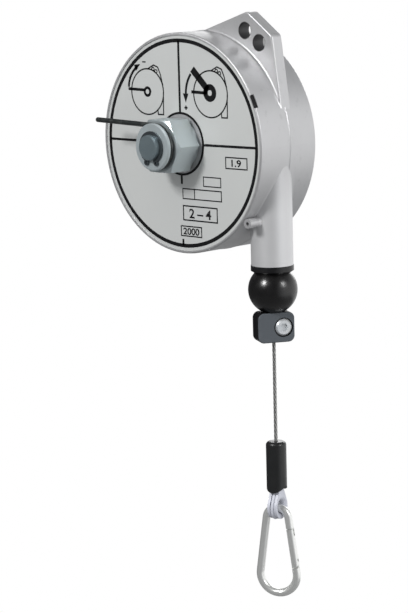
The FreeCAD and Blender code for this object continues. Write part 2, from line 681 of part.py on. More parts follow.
# ---------------------------------------------------------------- arbor and adjusting hub
def make_adjuster():
    arbor = new_body("arbor")
    groove_y = COLLAR_Y + " - 2 * run_gap"
    groove_r = "arbor_r - ring_groove"
    revolve(
        arbor,
        "turned",
        [
            ("0", "-arbor_front"),
            ("arbor_r - arbor_chamfer", "-arbor_front"),
            ("arbor_r", "arbor_chamfer - arbor_front"),
            ("arbor_r", groove_y + " - ring_t"),
            (groove_r, groove_y + " - ring_t"),
            (groove_r, groove_y + " + run_gap"),
            ("arbor_r", groove_y + " + run_gap"),
            ("arbor_r", BOSS_Y),
            ("arbor_mid_r", BOSS_Y),
            ("arbor_mid_r", TAIL_Y),
            ("arbor_tail_r", TAIL_Y),
            ("arbor_tail_r", ARBOR_Y),
            ("0", ARBOR_Y),
        ],
    )
    key_top = "arbor_r + key_w / 2"
    key_low = "arbor_r - key_w / 2"
    extrude(
        arbor, "keyseat", "XZ_Plane",
        lambda s: box(s, "-key_w / 2 - seat_gap", key_low, "key_w / 2 + seat_gap", key_top),
        "-hex_front + 2", "key_len + seat_gap", cut=True,
    )
    extrude(
        arbor, "spring_slot", "XZ_Plane",
        lambda s: box(s, "arbor_mid_r - hook_depth - 0.2", "-hook_w / 2 - 0.1", "arbor_mid_r + 1", "hook_w / 2 + 0.1"),
        DRUM_Y + " + drum_hub_len", "drum_len + drum_web - 2 * drum_hub_len", cut=True,
    )
    place(arbor, DRUM_FRAME)

    hub = new_body("hub_sleeve")
    corner_r = "(hex_flats / 2 / cos(30))"
    turns = [(corner_r + " * cos(%d)" % (60 * i), corner_r + " * sin(%d)" % (60 * i)) for i in range(6)]
    extrude(
        hub, "hexagon", "XZ_Plane", lambda s: outline(s, turns),
        "-hex_front", "hex_front - flange_front",
    )
    revolve(
        hub,
        "front_bevel",
        [
            ("hex_flats / 2", "-hex_front"),
            ("hex_flats", "-hex_front"),
            ("hex_flats", "-hex_front + hex_flats / 2 * 0.58"),
        ],
        cut=True,
    )
    revolve(
        hub,
        "flange",
        [
            ("0", "-flange_front - 1"),
            ("flange_r", "-flange_front - 1"),
            ("flange_r", "-boss_h - run_gap"),
            ("spigot_r", "-boss_h - run_gap"),
            ("spigot_r", BOSS_Y + " - part_gap"),
            ("0", BOSS_Y + " - part_gap"),
        ],
    )
    extrude(
        hub, "lever_seat", "XZ_Plane", lambda s: circle(s, "0", "0", "spigot_r"),
        "-hex_front - lever_gap", "lever_gap + 1",
    )
    extrude(
        hub, "bore", "XZ_Plane", lambda s: circle(s, "0", "0", "arbor_r + seat_gap"),
        "-hex_front - lever_gap", "hex_front + lever_gap + " + BOSS_Y, cut=True,
    )
    extrude(
        hub, "keyway", "XZ_Plane",
        lambda s: box(s, "-key_w / 2 - seat_gap", "arbor_r / 2", "key_w / 2 + seat_gap", key_top + " + 0.1"),
        "-hex_front - lever_gap", "hex_front + lever_gap + " + BOSS_Y, cut=True,
    )
    place(hub, DRUM_FRAME)

    key = new_body("hub_key")
    extrude(
        key, "bar", "XZ_Plane", lambda s: box(s, "-key_w / 2", key_low, "key_w / 2", key_top),
        "-hex_front + 2", "key_len",
    )
    place(key, DRUM_FRAME)

    ring(
        "hub_collar",
        [
            ("arbor_r + seat_gap", COLLAR_Y),
            ("collar_r - 0.8", COLLAR_Y),
            ("collar_r", COLLAR_Y + " + 0.8"),
            ("collar_r", COLLAR_Y + " + collar_t"),
            ("arbor_r + seat_gap", COLLAR_Y + " + collar_t"),
        ],
    )
    clip = new_body("retaining_ring")
    clip_inner = "arbor_r - ring_groove + seat_gap"
    revolve(
        clip,
        "turned",
        [
            (clip_inner, groove_y + " - ring_t"),
            ("ring_r", groove_y + " - ring_t"),
            ("ring_r", groove_y),
            (clip_inner, groove_y),
        ],
    )
    gap = [("0", "0"), ("ring_r * 0.5", "-2 * ring_r"), ("-ring_r * 0.5", "-2 * ring_r")]
    extrude(
        clip, "gap", "XZ_Plane", lambda s: outline(s, gap),
        groove_y + " - ring_t - 1", "ring_t + 2", cut=True,
    )
    for side, way in (("left", "-"), ("right", "")):
        at = (way + "(ring_r + 0.4) * sin(ring_ear_turn)", "-(ring_r + 0.4) * cos(ring_ear_turn)")
        extrude(
            clip, side + "_ear", "XZ_Plane", lambda s, at=at: circle(s, at[0], at[1], "ring_ear_r"),
            groove_y + " - ring_t", "ring_t",
        )
        extrude(
            clip, side + "_ear_hole", "XZ_Plane", lambda s, at=at: circle(s, at[0], at[1], "ring_ear_r * 0.4"),
            groove_y + " - ring_t", "ring_t", cut=True,
        )
    place(clip, DRUM_FRAME)


def make_release_lever():
    """A round wire bent once round the hub, with a straight tail as its handle."""
    wire_r = size("lever_wire_r")
    turn_r = number("spigot_r + run_gap + lever_wire_r")
    y = number("-hex_front - lever_gap / 2")
    tail = Part.makeLine(Vector(-size("lever_len"), y, turn_r), Vector(0, y, turn_r))
    at = [Vector(turn_r * math.cos(a), y, turn_r * math.sin(a)) for a in (math.pi / 2, 0, -math.pi / 2)]
    far = math.radians(-200)
    last = Vector(turn_r * math.cos(far), y, turn_r * math.sin(far))
    left = Vector(turn_r * math.cos(math.radians(-145)), y, turn_r * math.sin(math.radians(-145)))
    bends = [Part.Arc(at[0], at[1], at[2]).toShape(), Part.Arc(at[2], left, last).toShape()]
    path = Part.Wire([tail] + bends)
    section = Part.Wire([Part.makeCircle(wire_r, Vector(-size("lever_len"), y, turn_r), Vector(1, 0, 0))])
    solid = path.makePipeShell([section], True, True)
    tip = Part.makeSphere(wire_r, Vector(-size("lever_len"), y, turn_r))
    feature("release_lever", solid.fuse(tip).removeSplitter(), DRUM_FRAME, "lever_tilt", Vector(0, 1, 0))


# ---------------------------------------------------------------- drum
def make_drum():
    body = new_body("rope_drum")
    low, high = BAND_LOW, BAND_HIGH
    revolve(
        body,
        "cup",
        [
            (BUSH_R + " + seat_gap", DRUM_Y),
            ("drum_core_r", DRUM_Y),
            ("drum_core_r", low + " - drum_flange_t"),
            (FLANGE_R, low + " - drum_flange_t"),
            (FLANGE_R, low),
            ("drum_core_r", low),
            ("drum_core_r", high),
            (FLANGE_R, high),
            (FLANGE_R, high + " + drum_flange_t"),
            ("drum_core_r", high + " + drum_flange_t"),
            ("drum_core_r", DRUM_END_Y),
            (CHAMBER_R, DRUM_END_Y),
            (CHAMBER_R, DRUM_Y + " + drum_web"),
            ("drum_hub_r", DRUM_Y + " + drum_web"),
            ("drum_hub_r", DRUM_Y + " + drum_hub_len"),
            (BUSH_R + " + seat_gap", DRUM_Y + " + drum_hub_len"),
        ],
    )
    wall_mid = "(drum_core_r - drum_wall / 2)"
    hole = extrude(
        body, "screw_hole", "XZ_Plane",
        lambda s: circle(s, wall_mid + " * cos(45)", wall_mid + " * sin(45)", "screw_r"),
        DRUM_END_Y + " - screw_len", "screw_len", cut=True,
    )
    repeat(body, "screw_holes", [hole], "drum_screws")
    extrude(
        body, "rivet_hole", "YZ_Plane", lambda s: circle(s, BAND_Y, "0", "rivet_r + seat_gap"),
        CHAMBER_R + " - 1", "drum_wall + 1", cut=True,
    )
    extrude(
        body, "anchor_hole", "YZ_Plane", lambda s: circle(s, BAND_Y, "0", "anchor_r + seat_gap"),
        "-drum_core_r", "drum_wall + 1", cut=True,
    )
    place(body, DRUM_FRAME)

    cover = new_body("drum_cover")
    revolve(
        cover,
        "disc",
        [
            (BUSH_R + " + seat_gap", DRUM_BACK_Y + " - drum_hub_len"),
            ("drum_hub_r", DRUM_BACK_Y + " - drum_hub_len"),
            ("drum_hub_r", DRUM_END_Y),
            ("drum_core_r", DRUM_END_Y),
            ("drum_core_r", DRUM_BACK_Y),
            (BUSH_R + " + seat_gap", DRUM_BACK_Y),
        ],
    )
    hole = extrude(
        cover, "screw_hole", "XZ_Plane",
        lambda s: circle(s, wall_mid + " * cos(45)", wall_mid + " * sin(45)", "screw_r + part_gap / 2"),
        DRUM_END_Y, "drum_web", cut=True,
    )
    repeat(cover, "screw_holes", [hole], "drum_screws")
    place(cover, DRUM_FRAME)

    shank = number("screw_len + drum_web - 0.5")
    screws = round_the_drum(
        screw(number(DRUM_BACK_Y), shank), number(wall_mid), int(size("drum_screws")), 45
    )
    feature("drum_cover_screws", screws, DRUM_FRAME)

    inner = "arbor_mid_r + run_gap"
    tube_of("drum_front_bush", inner, BUSH_R, DRUM_Y, DRUM_Y + " + drum_hub_len")
    tube_of("drum_rear_bush", inner, BUSH_R, DRUM_BACK_Y + " - drum_hub_len", DRUM_BACK_Y)
    washer = BOSS_Y + " + run_gap"
    tube_of("front_thrust_washer", inner, "washer_r", washer, washer + " + washer_t")
    washer = TAIL_Y + " - run_gap - washer_t"
    tube_of("rear_thrust_washer", inner, "washer_r", washer, TAIL_Y + " - run_gap")
    tube_of(
        "rope_winding", "drum_core_r", "drum_core_r + rope_d",
        BAND_LOW + " + run_gap", BAND_HIGH + " - run_gap",
    )
    ferrule = new_body("rope_anchor")
    extrude(
        ferrule, "barrel", "YZ_Plane", lambda s: circle(s, BAND_Y, "0", "anchor_r"),
        "run_gap - drum_core_r", "drum_wall - 2 * run_gap",
    )
    place(ferrule, DRUM_FRAME)


def make_power_spring():
    """A strip coiled in half circles: close turns along the drum wall, then loose ones down to
    the arbor, where its inner end is hooked in."""
    strip, pitch = size("strip_t"), size("strip_pitch")
    start = number(CHAMBER_R + " - seat_gap") - strip / 2
    end = size("arbor_mid_r") + size("run_gap") + strip / 2
    close_halves = 2 * int(size("strip_turns"))
    loose_halves = 2 * int(size("strip_loose"))
    first_loose = start - pitch / 2 * close_halves
    step = (first_loose - end) / loose_halves
    radii = [start - pitch / 2 * i for i in range(close_halves)]
    radii += [radii[-1] - step * (i + 1) for i in range(loose_halves)]
    y = number(STRIP_Y)

    def side(offset):
        """One face of the strip, offset from its middle, as half circles end to end."""
        arcs, x = [], start
        for i, radius in enumerate(radii):
            way = -1 if i % 2 == 0 else 1
            centre = x + way * radius
            reach = radius + offset
            a = Vector(centre - way * reach, y, 0)
            top = Vector(centre, y, -way * reach)
            b = Vector(centre + way * reach, y, 0)
            arcs.append(Part.Arc(a, top, b).toShape())
            x += 2 * way * radius
        return arcs

    outer, inner = side(strip / 2), side(-strip / 2)

    def cap(one, other, i):
        return Part.makeLine(one.Vertexes[i].Point, other.Vertexes[i].Point)

    edges = outer + [cap(outer[-1], inner[-1], 1)] + inner + [cap(outer[0], inner[0], 0)]
    face = Part.Face(Part.Wire(Part.__sortEdges__(edges)))
    coil = face.extrude(Vector(0, size("strip_w"), 0))
    half = size("hook_w") / 2
    hook = block(
        size("arbor_mid_r") - size("hook_depth"), end + strip / 2, y, y + size("strip_w"), -half, half
    )
    hole = cylinder(
        size("rivet_r") + size("seat_gap"), 4 * strip, Vector(start - 2 * strip, number(BAND_Y), 0), Vector(1, 0, 0)
    )
    feature("power_spring", coil.fuse(hook).cut(hole).removeSplitter(), DRUM_FRAME)

    rivet = new_body("spring_rivet")
    head = CHAMBER_R + " - seat_gap - strip_t"
    extrude(
        rivet, "shank", "YZ_Plane", lambda s: circle(s, BAND_Y, "0", "rivet_r"),
        head + " - 0.4", "drum_wall + strip_t + 0.2",
    )
    extrude(
        rivet, "head", "YZ_Plane", lambda s: circle(s, BAND_Y, "0", "rivet_r + 1.2"),
        head + " - 1", "0.65",
    )
    place(rivet, DRUM_FRAME)


# ---------------------------------------------------------------- rope, buffer and clamp
def make_rope():
    """The straight rope from the drum down into the ferrule of the rope's end."""
    top = math.sqrt((size("drum_core_r") + size("rope_d")) ** 2 - size("drum_core_r") ** 2) + 0.6
    body = new_body("rope")
    end = HEAD_Z + " - ferrule_len / 2 + run_gap"
    extrude(
        body, "run", "XY_Plane", lambda s: circle(s, "0", "0", "rope_d / 2"), end, -number(end) - top
    )
    place(body, ROPE_FRAME)


def make_ball():
    ball_r, z = size("ball_r"), number(BALL_Z)
    ball = Part.makeSphere(ball_r, Vector(0, 0, z))
    slab = cylinder(
        ball_r + 1, size("ball_top") + size("ball_foot"), Vector(0, 0, z - size("ball_foot")), Vector(0, 0, 1)
    )
    bore = cylinder(size("rope_d") / 2 + 0.35, 4 * ball_r, Vector(0, 0, z - 2 * ball_r), Vector(0, 0, 1))
    feature("ball_buffer", ball.common(slab).cut(bore), ROPE_FRAME)


def make_clamp():
    """Two moulded parts round the rope, drawn with the face towards -Y, and their screw. The rear
    one has a deep slot for the rope, and a tongue of the front one closes it."""
    wide, high, thick = size("clamp_w"), size("clamp_h"), size("clamp_t")
    screw_x, split = size("clamp_screw_x"), thick / 2 - size("clamp_face_t")
    rope_r, gap = size("rope_d") / 2 + size("seat_gap"), size("run_gap")
    groove = cylinder(rope_r, 2 * high, Vector(0, 0, -high), Vector(0, 0, 1))
    hole = cylinder(size("clamp_screw_r") + gap, 2 * thick, Vector(screw_x, -thick, 0), Vector(0, 1, 0))
    whole = block(-wide / 2, wide / 2, -thick / 2, thick / 2, -high / 2, high / 2)
    corners = [e for e in whole.Edges if e.BoundBox.YLength > thick / 2]
    whole = whole.makeFillet(size("clamp_round"), corners)
    rims = [e for e in whole.Edges if e.BoundBox.YLength < 1e-3]
    whole = whole.makeFillet(size("clamp_edge"), rims)
    tongue = block(gap - rope_r, rope_r - gap, -split - 1, 0, -high / 2, high / 2)
    slot = block(-rope_r, rope_r, -thick, 0, -high, high)
    front = whole.common(block(-wide, wide, -thick, -split - gap, -high, high)).fuse(tongue)
    rear = whole.common(block(-wide, wide, -split, thick, -high, high)).cut(slot)
    sink = cylinder(
        size("clamp_head_r") + size("clamp_ring_gap"), size("clamp_sink") + 1,
        Vector(screw_x, -thick / 2 - 1, 0), Vector(0, 1, 0),
    )
    nut_y = thick / 2 - size("clamp_nut_h")
    nut_hole = hexagon(size("clamp_nut_r") + size("seat_gap"), nut_y, thick, screw_x)
    feature("clamp_front_half", front.cut(groove).cut(hole).cut(sink), CLAMP_FRAME, "clamp_turn")
    feature("clamp_rear_half", rear.cut(groove).cut(hole).cut(nut_hole), CLAMP_FRAME, "clamp_turn")

    head_y = -thick / 2 + size("clamp_sink")
    head_r, head_h = size("clamp_head_r"), size("clamp_head_h")
    end_y = nut_y + size("clamp_nut_h") - 0.3
    profile = [(0, end_y), (size("clamp_screw_r"), end_y), (size("clamp_screw_r"), head_y), (head_r, head_y)]
    profile += [(head_r, head_y - head_h * 0.6), (head_r * 0.8, head_y - head_h), (0, head_y - head_h)]
    wire = Part.makePolygon([Vector(screw_x + r, y, 0) for r, y in profile + profile[:1]])
    body = Part.Face(wire).revolve(Vector(screw_x, 0, 0), Vector(0, 1, 0), 360)
    socket = hexagon(head_r * 0.5, head_y - head_h - 0.5, head_h * 0.5 + 0.5, screw_x)
    feature("clamp_screw", body.cut(socket), CLAMP_FRAME, "clamp_turn")
    nut = hexagon(size("clamp_nut_r"), nut_y + size("run_gap"), size("clamp_nut_h") - 0.3, screw_x)
    thread = cylinder(size("clamp_screw_r") + size("seat_gap"), 2 * thick, Vector(screw_x, -thick, 0), Vector(0, 1, 0))
    feature("clamp_nut", nut.cut(thread), CLAMP_FRAME, "clamp_turn")


# ---------------------------------------------------------------- rope end
def teardrop(radius, up, half):
    """A flat drop in the XZ plane: a round foot of that radius and two straight flanks that meet
    at a point above it. Drawn about the thimble's middle, half on each side of that plane."""
    lean = math.asin(radius / up)
    side = Vector(radius * math.cos(lean), -half, radius * math.sin(lean))
    other = Vector(-side.x, -half, side.z)
    foot = Part.Arc(side, Vector(0, -half, -radius), other).toShape()
    point = Vector(0, -half, up)
    wire = Part.Wire([foot, Part.makeLine(other, point), Part.makeLine(point, side)])
    return Part.Face(wire).extrude(Vector(0, 2 * half, 0))


def make_rope_end():
    """The ferrule, the black sleeve over it, the thimble and the rope eye in its groove. The
    thimble is drawn in the XZ plane, with its eye along Y."""
    radius, up, half = size("thimble_r"), size("thimble_up"), size("thimble_t") / 2
    floor_r = size("groove_floor_r")
    eye_z = size("thimble_eye_up")
    body = teardrop(radius, up, half)
    point = [e for e in body.Edges if e.BoundBox.ZMin > up - 0.01]
    body = body.makeFillet(0.8, point)
    groove_up = up * floor_r / radius
    core = teardrop(floor_r, groove_up, half)
    slot = teardrop(radius * 2, up * 2, size("groove_w") / 2).cut(core)
    body = body.cut(slot)
    body = body.cut(cylinder(size("thimble_eye_r"), 4 * half, Vector(0, -2 * half, eye_z), Vector(0, 1, 0)))
    rims = [
        e for e in body.Edges
        if isinstance(e.Curve, Part.Circle) and abs(e.Curve.Radius - size("thimble_eye_r")) < 1e-4
        and e.BoundBox.YLength < 1e-3
    ]
    # the crowned rim lets the hook's bend swing in the eye
    body = body.makeFillet(half - 0.8, rims)
    feature("thimble", body, THIMBLE_FRAME, "thimble_turn + 90")

    rope_r = size("rope_d") / 2
    sleeve_low = number(SLEEVE_Z) - size("sleeve_len")
    ferrule_low = number(HEAD_Z) - size("ferrule_len")
    middle = ferrule_low + size("ferrule_len") / 2
    # the rope eye: two legs from the ferrule, out to the flanks and round the foot
    run_r = floor_r + rope_r + size("run_gap")
    run_up = groove_up * run_r / floor_r
    lean = math.asin(run_r / run_up)
    foot_z = number(THIMBLE_Z)
    side = Vector(run_r * math.cos(lean), 0, foot_z + run_r * math.sin(lean))
    leg = Vector(size("leg_x"), 0, foot_z + run_up - size("leg_x") / math.tan(lean))
    top = Vector(size("leg_x"), 0, middle)

    def mirrored(v):
        return Vector(-v.x, v.y, v.z)

    bend = 3.0
    down = Vector(leg.x, 0, leg.z + bend * 0.5)
    along = leg + (side - leg).normalize() * bend * 0.5
    mid = (down + along) * 0.5 * 0.5 + leg * 0.5
    edges = [Part.makeLine(top, down), Part.Arc(down, mid, along).toShape(), Part.makeLine(along, side)]
    edges.append(Part.Arc(side, Vector(0, 0, foot_z - run_r), mirrored(side)).toShape())
    edges += [
        Part.makeLine(mirrored(side), mirrored(along)),
        Part.Arc(mirrored(along), mirrored(mid), mirrored(down)).toShape(),
        Part.makeLine(mirrored(down), mirrored(top)),
    ]
    path = Part.Wire(edges)
    section = Part.Wire([Part.makeCircle(rope_r, top, Vector(0, 0, 1))])
    loop = path.makePipeShell([section], True, True)
    feature("rope_eye", loop, ROPE_FRAME, "thimble_turn + 90")

    ferrule = cylinder(size("ferrule_r"), size("ferrule_len"), Vector(0, 0, ferrule_low), Vector(0, 0, 1))
    tight = rope_r + size("seat_gap")
    ferrule = ferrule.cut(cylinder(tight, size("ferrule_len"), Vector(0, 0, middle), Vector(0, 0, 1)))
    for sign in (-1, 1):
        base = Vector(sign * size("leg_x"), 0, middle - size("ferrule_len"))
        ferrule = ferrule.cut(cylinder(tight, size("ferrule_len"), base, Vector(0, 0, 1)))
    feature("rope_ferrule", ferrule, ROPE_FRAME, "thimble_turn + 90")

    sleeve_r, notch, long_ = size("sleeve_r"), size("sleeve_notch"), size("sleeve_len")
    sleeve = cylinder(sleeve_r, long_, Vector(0, 0, sleeve_low), Vector(0, 0, 1))
    rims = [e for e in sleeve.Edges if isinstance(e.Curve, Part.Circle) and e.BoundBox.ZLength < 1e-3]
    sleeve = sleeve.makeFillet(size("sleeve_round"), [e for e in rims if e.BoundBox.ZMin > sleeve_low + 1])
    sleeve = sleeve.cut(cylinder(rope_r + 0.1, long_, Vector(0, 0, middle), Vector(0, 0, 1)))
    room = cylinder(
        size("ferrule_r") + size("run_gap"), number(HEAD_Z) + size("run_gap") - sleeve_low + 1,
        Vector(0, 0, sleeve_low - 1), Vector(0, 0, 1),
    )
    sleeve = sleeve.cut(room)
    drop = teardrop(radius + 0.5, (radius + 0.5) * up / radius, half + 0.1)
    drop.translate(Vector(0, 0, foot_z))
    rise = (sleeve_low - 0.01, sleeve_low + notch)
    wedge = Part.makePolygon([
        Vector(-sleeve_r, -2 * sleeve_r, rise[0]), Vector(sleeve_r, -2 * sleeve_r, rise[0]),
        Vector(0, -2 * sleeve_r, rise[1]), Vector(-sleeve_r, -2 * sleeve_r, rise[0]),
    ])
    wedge = Part.Face(wedge).extrude(Vector(0, 4 * sleeve_r, 0))
    feature("rope_sleeve", sleeve.cut(drop).cut(wedge), ROPE_FRAME, "thimble_turn + 90")


# ---------------------------------------------------------------- snap hook
def hook_arm():
    """The straight arm that carries the gate: its upper end, its direction and its length, in the
    hook's own frame (plane XZ, wire's middle at the top bend on Z = 0)."""
    top_r, low_r, span = size("hook_top_r"), size("hook_low_r"), size("hook_span")
    rise = (low_r - top_r) / span
    out = Vector(math.sqrt(1 - rise * rise), 0, rise)
    top_c, low_c = Vector(0, 0, -top_r), Vector(0, 0, -top_r - span)
    start, end = top_c + out * top_r, low_c + out * low_r
    return start, (end - start).normalize(), (end - start).Length


def make_hook():
    """Wire bent to a pear, open where the gate closes it, with a flat tongue at each end."""
    wire_r, top_r, low_r = size("hook_r"), size("hook_top_r"), size("hook_low_r")
    start, down, length = hook_arm()

    def on_arm(at, across=0.0, y=0.0):
        side = Vector(down.z, 0, -down.x) * -1
        return start + down * at + side * across + Vector(0, y, 0)

    def other(v):
        return Vector(-v.x, v.y, v.z)

    nose = on_arm(size("gate_start") - size("gate_gap"))
    heel = on_arm(size("gate_pin_at") + wire_r + size("gate_gap"))
    foot = start + down * length
    path = Part.Wire([
        Part.makeLine(nose, start),
        Part.Arc(start, Vector(0, 0, 0), other(start)).toShape(),
        Part.makeLine(other(start), other(foot)),
        Part.Arc(other(foot), Vector(0, 0, -top_r - size("hook_span") - low_r), foot).toShape(),
        Part.makeLine(foot, heel),
    ])
    section = Part.Wire([Part.makeCircle(wire_r, nose, down)])
    body = path.makePipeShell([section], True, True)
    half = size("tongue_t") / 2

    def slab(first, last, reach, half_t):
        """A flat bar along the arm, from first to last."""
        corners = [on_arm(first, -reach), on_arm(last, -reach), on_arm(last, reach), on_arm(first, reach)]
        face = Part.Face(Part.makePolygon([c - Vector(0, half_t, 0) for c in corners + corners[:1]]))
        return face.extrude(Vector(0, 2 * half_t, 0))

    def cross(at, radius, half_y):
        return cylinder(radius, 2 * half_y, on_arm(at, 0, -half_y), Vector(0, 1, 0))

    gate_start, pin_at, gap = size("gate_start"), size("gate_pin_at"), size("gate_gap")
    body = body.fuse(slab(gate_start - gap - 1, gate_start + size("tongue_len"), 1.6, half))
    body = body.fuse(slab(pin_at, pin_at + wire_r + gap + 1, wire_r * 0.9, half))
    body = body.fuse(cross(pin_at, wire_r * 0.9, half))
    pin_hole = cross(pin_at, size("gate_pin_r") + size("seat_gap"), 2 * wire_r)
    body = body.cut(pin_hole).removeSplitter()

    gate_r = wire_r - size("run_gap")
    bar = cylinder(gate_r, pin_at - gate_start, on_arm(gate_start), down)
    bar = bar.fuse(cylinder(gate_r, gate_r, on_arm(pin_at), down).common(cross(pin_at, gate_r, 2 * wire_r)))
    slot = half + 0.12
    bar = bar.cut(slab(gate_start - 1, gate_start + size("tongue_len") + 0.6, 2 * wire_r, slot))
    bar = bar.cut(slab(pin_at - gate_r - 0.4, pin_at + 3 * wire_r, 2 * wire_r, slot))
    bar = bar.cut(cross(pin_at, size("gate_pin_r") + size("run_gap"), 2 * wire_r))
    spring_at = pin_at - gate_r - 0.4
    spring_len, spring_r, room = size("gate_spring_len"), size("gate_spring_r"), size("run_gap")
    well = cylinder(spring_r + room, spring_len + 2 * room, on_arm(spring_at - spring_len - 2 * room), down)
    bar = bar.cut(well).removeSplitter()
    coil = cylinder(spring_r, spring_len, on_arm(spring_at - spring_len - room), down)
    coil = coil.cut(cylinder(spring_r * 0.56, spring_len, on_arm(spring_at - spring_len - room), down))
    pin = cross(pin_at, size("gate_pin_r"), gate_r)

    for label, solid in (("hook_body", body), ("hook_gate", bar), ("gate_spring", coil), ("gate_pin", pin)):
        feature(label, solid, HOOK_FRAME, "hook_turn")


make_housing()
make_cover()
make_housing_fittings()
make_adjuster()
make_release_lever()
make_drum()
make_power_spring()
make_rope()
make_ball()
make_clamp()
make_rope_end()
make_hook()
sheet.clear("D1")
doc.recompute()

# ---------------------------------------------------------------- check and write
for thing in doc.Objects:
    if "Invalid" in thing.State or "Error" in thing.State:
        raise ValueError("%s failed: %s" % (thing.Label, thing.State))
labels = [thing.Label for thing in MADE]
if len(set(labels)) != len(labels):
    raise ValueError("two pieces share a label")
for thing in MADE:
    if thing.Shape.isNull() or not thing.Shape.isValid() or not thing.Shape.Solids:
        raise ValueError("%s has no valid solid" % thing.Label)
os.makedirs("parts", exist_ok=True)
for thing in MADE:
    thing.Shape.exportStep("parts/%s.step" % thing.Label)
    print("%-22s %d solid(s) %9.1f mm3" % (thing.Label, len(thing.Shape.Solids), thing.Shape.Volume))
print(len(MADE), "pieces")
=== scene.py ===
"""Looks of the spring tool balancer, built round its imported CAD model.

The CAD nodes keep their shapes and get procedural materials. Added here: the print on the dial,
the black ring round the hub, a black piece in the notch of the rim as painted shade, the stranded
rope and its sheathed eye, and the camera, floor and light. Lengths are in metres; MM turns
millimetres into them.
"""
import json
import math

import bmesh
import bpy
from mathutils import Matrix, Vector


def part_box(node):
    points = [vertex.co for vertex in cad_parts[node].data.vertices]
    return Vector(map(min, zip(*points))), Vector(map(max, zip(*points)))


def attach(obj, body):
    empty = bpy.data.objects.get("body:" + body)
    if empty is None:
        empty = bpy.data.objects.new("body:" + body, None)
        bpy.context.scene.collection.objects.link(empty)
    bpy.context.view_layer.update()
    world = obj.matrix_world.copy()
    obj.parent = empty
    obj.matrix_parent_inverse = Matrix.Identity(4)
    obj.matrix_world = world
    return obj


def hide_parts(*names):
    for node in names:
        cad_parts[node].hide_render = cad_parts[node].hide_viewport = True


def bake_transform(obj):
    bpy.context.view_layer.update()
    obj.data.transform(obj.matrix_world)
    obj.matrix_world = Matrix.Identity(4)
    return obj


MM = 0.001
X, Y, Z = (1, 0, 0), (0, 1, 0), (0, 0, 1)
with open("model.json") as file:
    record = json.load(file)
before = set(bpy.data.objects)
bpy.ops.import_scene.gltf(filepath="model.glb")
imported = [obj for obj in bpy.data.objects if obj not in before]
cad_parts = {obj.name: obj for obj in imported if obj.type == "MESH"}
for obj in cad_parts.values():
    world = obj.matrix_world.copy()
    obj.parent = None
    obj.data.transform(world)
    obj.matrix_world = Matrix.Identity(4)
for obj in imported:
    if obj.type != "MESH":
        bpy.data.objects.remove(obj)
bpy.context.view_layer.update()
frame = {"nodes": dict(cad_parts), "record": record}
nodes = frame["nodes"]
scene = bpy.context.scene

# ---------------------------------------------------------------- places read from the CAD
dial_low, dial_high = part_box("label_plate")
# the middle of the dial's face; in millimetres, the rim's wall and the casting's radius
DIAL = Vector(((dial_low[0] + dial_high[0]) / 2, dial_low[1], (dial_low[2] + dial_high[2]) / 2))
RIM_WALL = 1.8
BODY_R = (dial_high[0] - dial_low[0]) / 2 / MM + RIM_WALL
rope_low, rope_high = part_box("rope")
ROPE_X, ROPE_Y = (rope_low[0] + rope_high[0]) / 2, (rope_low[1] + rope_high[1]) / 2
ROPE_AXIS = (ROPE_X, ROPE_Y, 0)
ROPE_TOP, ROPE_END = rope_high[2], rope_low[2]
ROPE_R = (rope_high[0] - rope_low[0]) / 2
ball_low, ball_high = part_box("ball_buffer")
bush_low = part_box("outlet_bush")[0]
eye_low, eye_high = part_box("rope_eye")
# the clamp stands turned about the rope, and its front half, with the face painted grey as a sheen, faces
# this way
CLAMP_TURN = math.radians(60)
CLAMP_FACING = Vector((math.sin(CLAMP_TURN), -math.cos(CLAMP_TURN), 0))

# ---------------------------------------------------------------- camera
TURN, RISE, ROLL = math.radians(44.54), math.radians(9.76), math.radians(-1.515)
CAMERA_AT = Vector((0.9751, -1.0415, 0.0587))
LENS, SENSOR, FAR = 124.33, 36.0, 100


def camera_axes():
    """Right, up and back of the camera."""
    back = Vector((math.sin(TURN) * math.cos(RISE), -math.cos(TURN) * math.cos(RISE), math.sin(RISE)))
    right = Vector((math.cos(TURN), math.sin(TURN), 0))
    up = back.cross(right)
    turned_right = math.cos(ROLL) * right + math.sin(ROLL) * up
    turned_up = -math.sin(ROLL) * right + math.cos(ROLL) * up
    return turned_right, turned_up, back


RIGHT, UP, BACK = camera_axes()
camera_data = bpy.data.cameras.new("camera")
camera_data.lens, camera_data.sensor_width, camera_data.clip_end = LENS, SENSOR, FAR
camera = bpy.data.objects.new("camera", camera_data)
scene.collection.objects.link(camera)
camera.matrix_world = Matrix.Translation(CAMERA_AT) @ Matrix((RIGHT, UP, BACK)).transposed().to_4x4()
scene.camera = camera


# ---------------------------------------------------------------- materials
class Wiring:
    """Adds nodes to a node tree and links them."""

    def __init__(self, tree):
        self.tree = tree

    def node(self, kind, **values):
        """A new node. Each value goes to the input of that name, or else to the setting."""
        made = self.tree.nodes.new(kind)
        for key, value in values.items():
            if key in made.inputs:
                made.inputs[key].default_value = value
            else:
                setattr(made, key, value)
        return made

    def link(self, source, target):
        self.tree.links.new(source, target)

    def math(self, operation, one, other=None):
        """Works on one or two values, each a number or the output of a node."""
        made = self.node("ShaderNodeMath", operation=operation)
        for socket, value in zip(made.inputs, (one, other)):
            if isinstance(value, (int, float)):
                socket.default_value = value
            elif value is not None:
                self.link(value, socket)
        return made.outputs[0]

    def spread(self, value, low, high, to_low=0.0, to_high=1.0, curve="LINEAR"):
        """Maps low..high of a value to to_low..to_high, clamped."""
        made = self.node("ShaderNodeMapRange", clamp=True, interpolation_type=curve)
        self.link(value, made.inputs["Value"])
        ends = (("From Min", low), ("From Max", high), ("To Min", to_low), ("To Max", to_high))
        for key, number in ends:
            made.inputs[key].default_value = number
        return made.outputs[0]

    def mix(self, factor, first, second):
        """Goes from the first shader to the second as the factor goes from 0 to 1."""
        made = self.node("ShaderNodeMixShader")
        for socket, source in zip(made.inputs, (factor, first, second)):
            self.link(source, socket)
        return made.outputs[0]


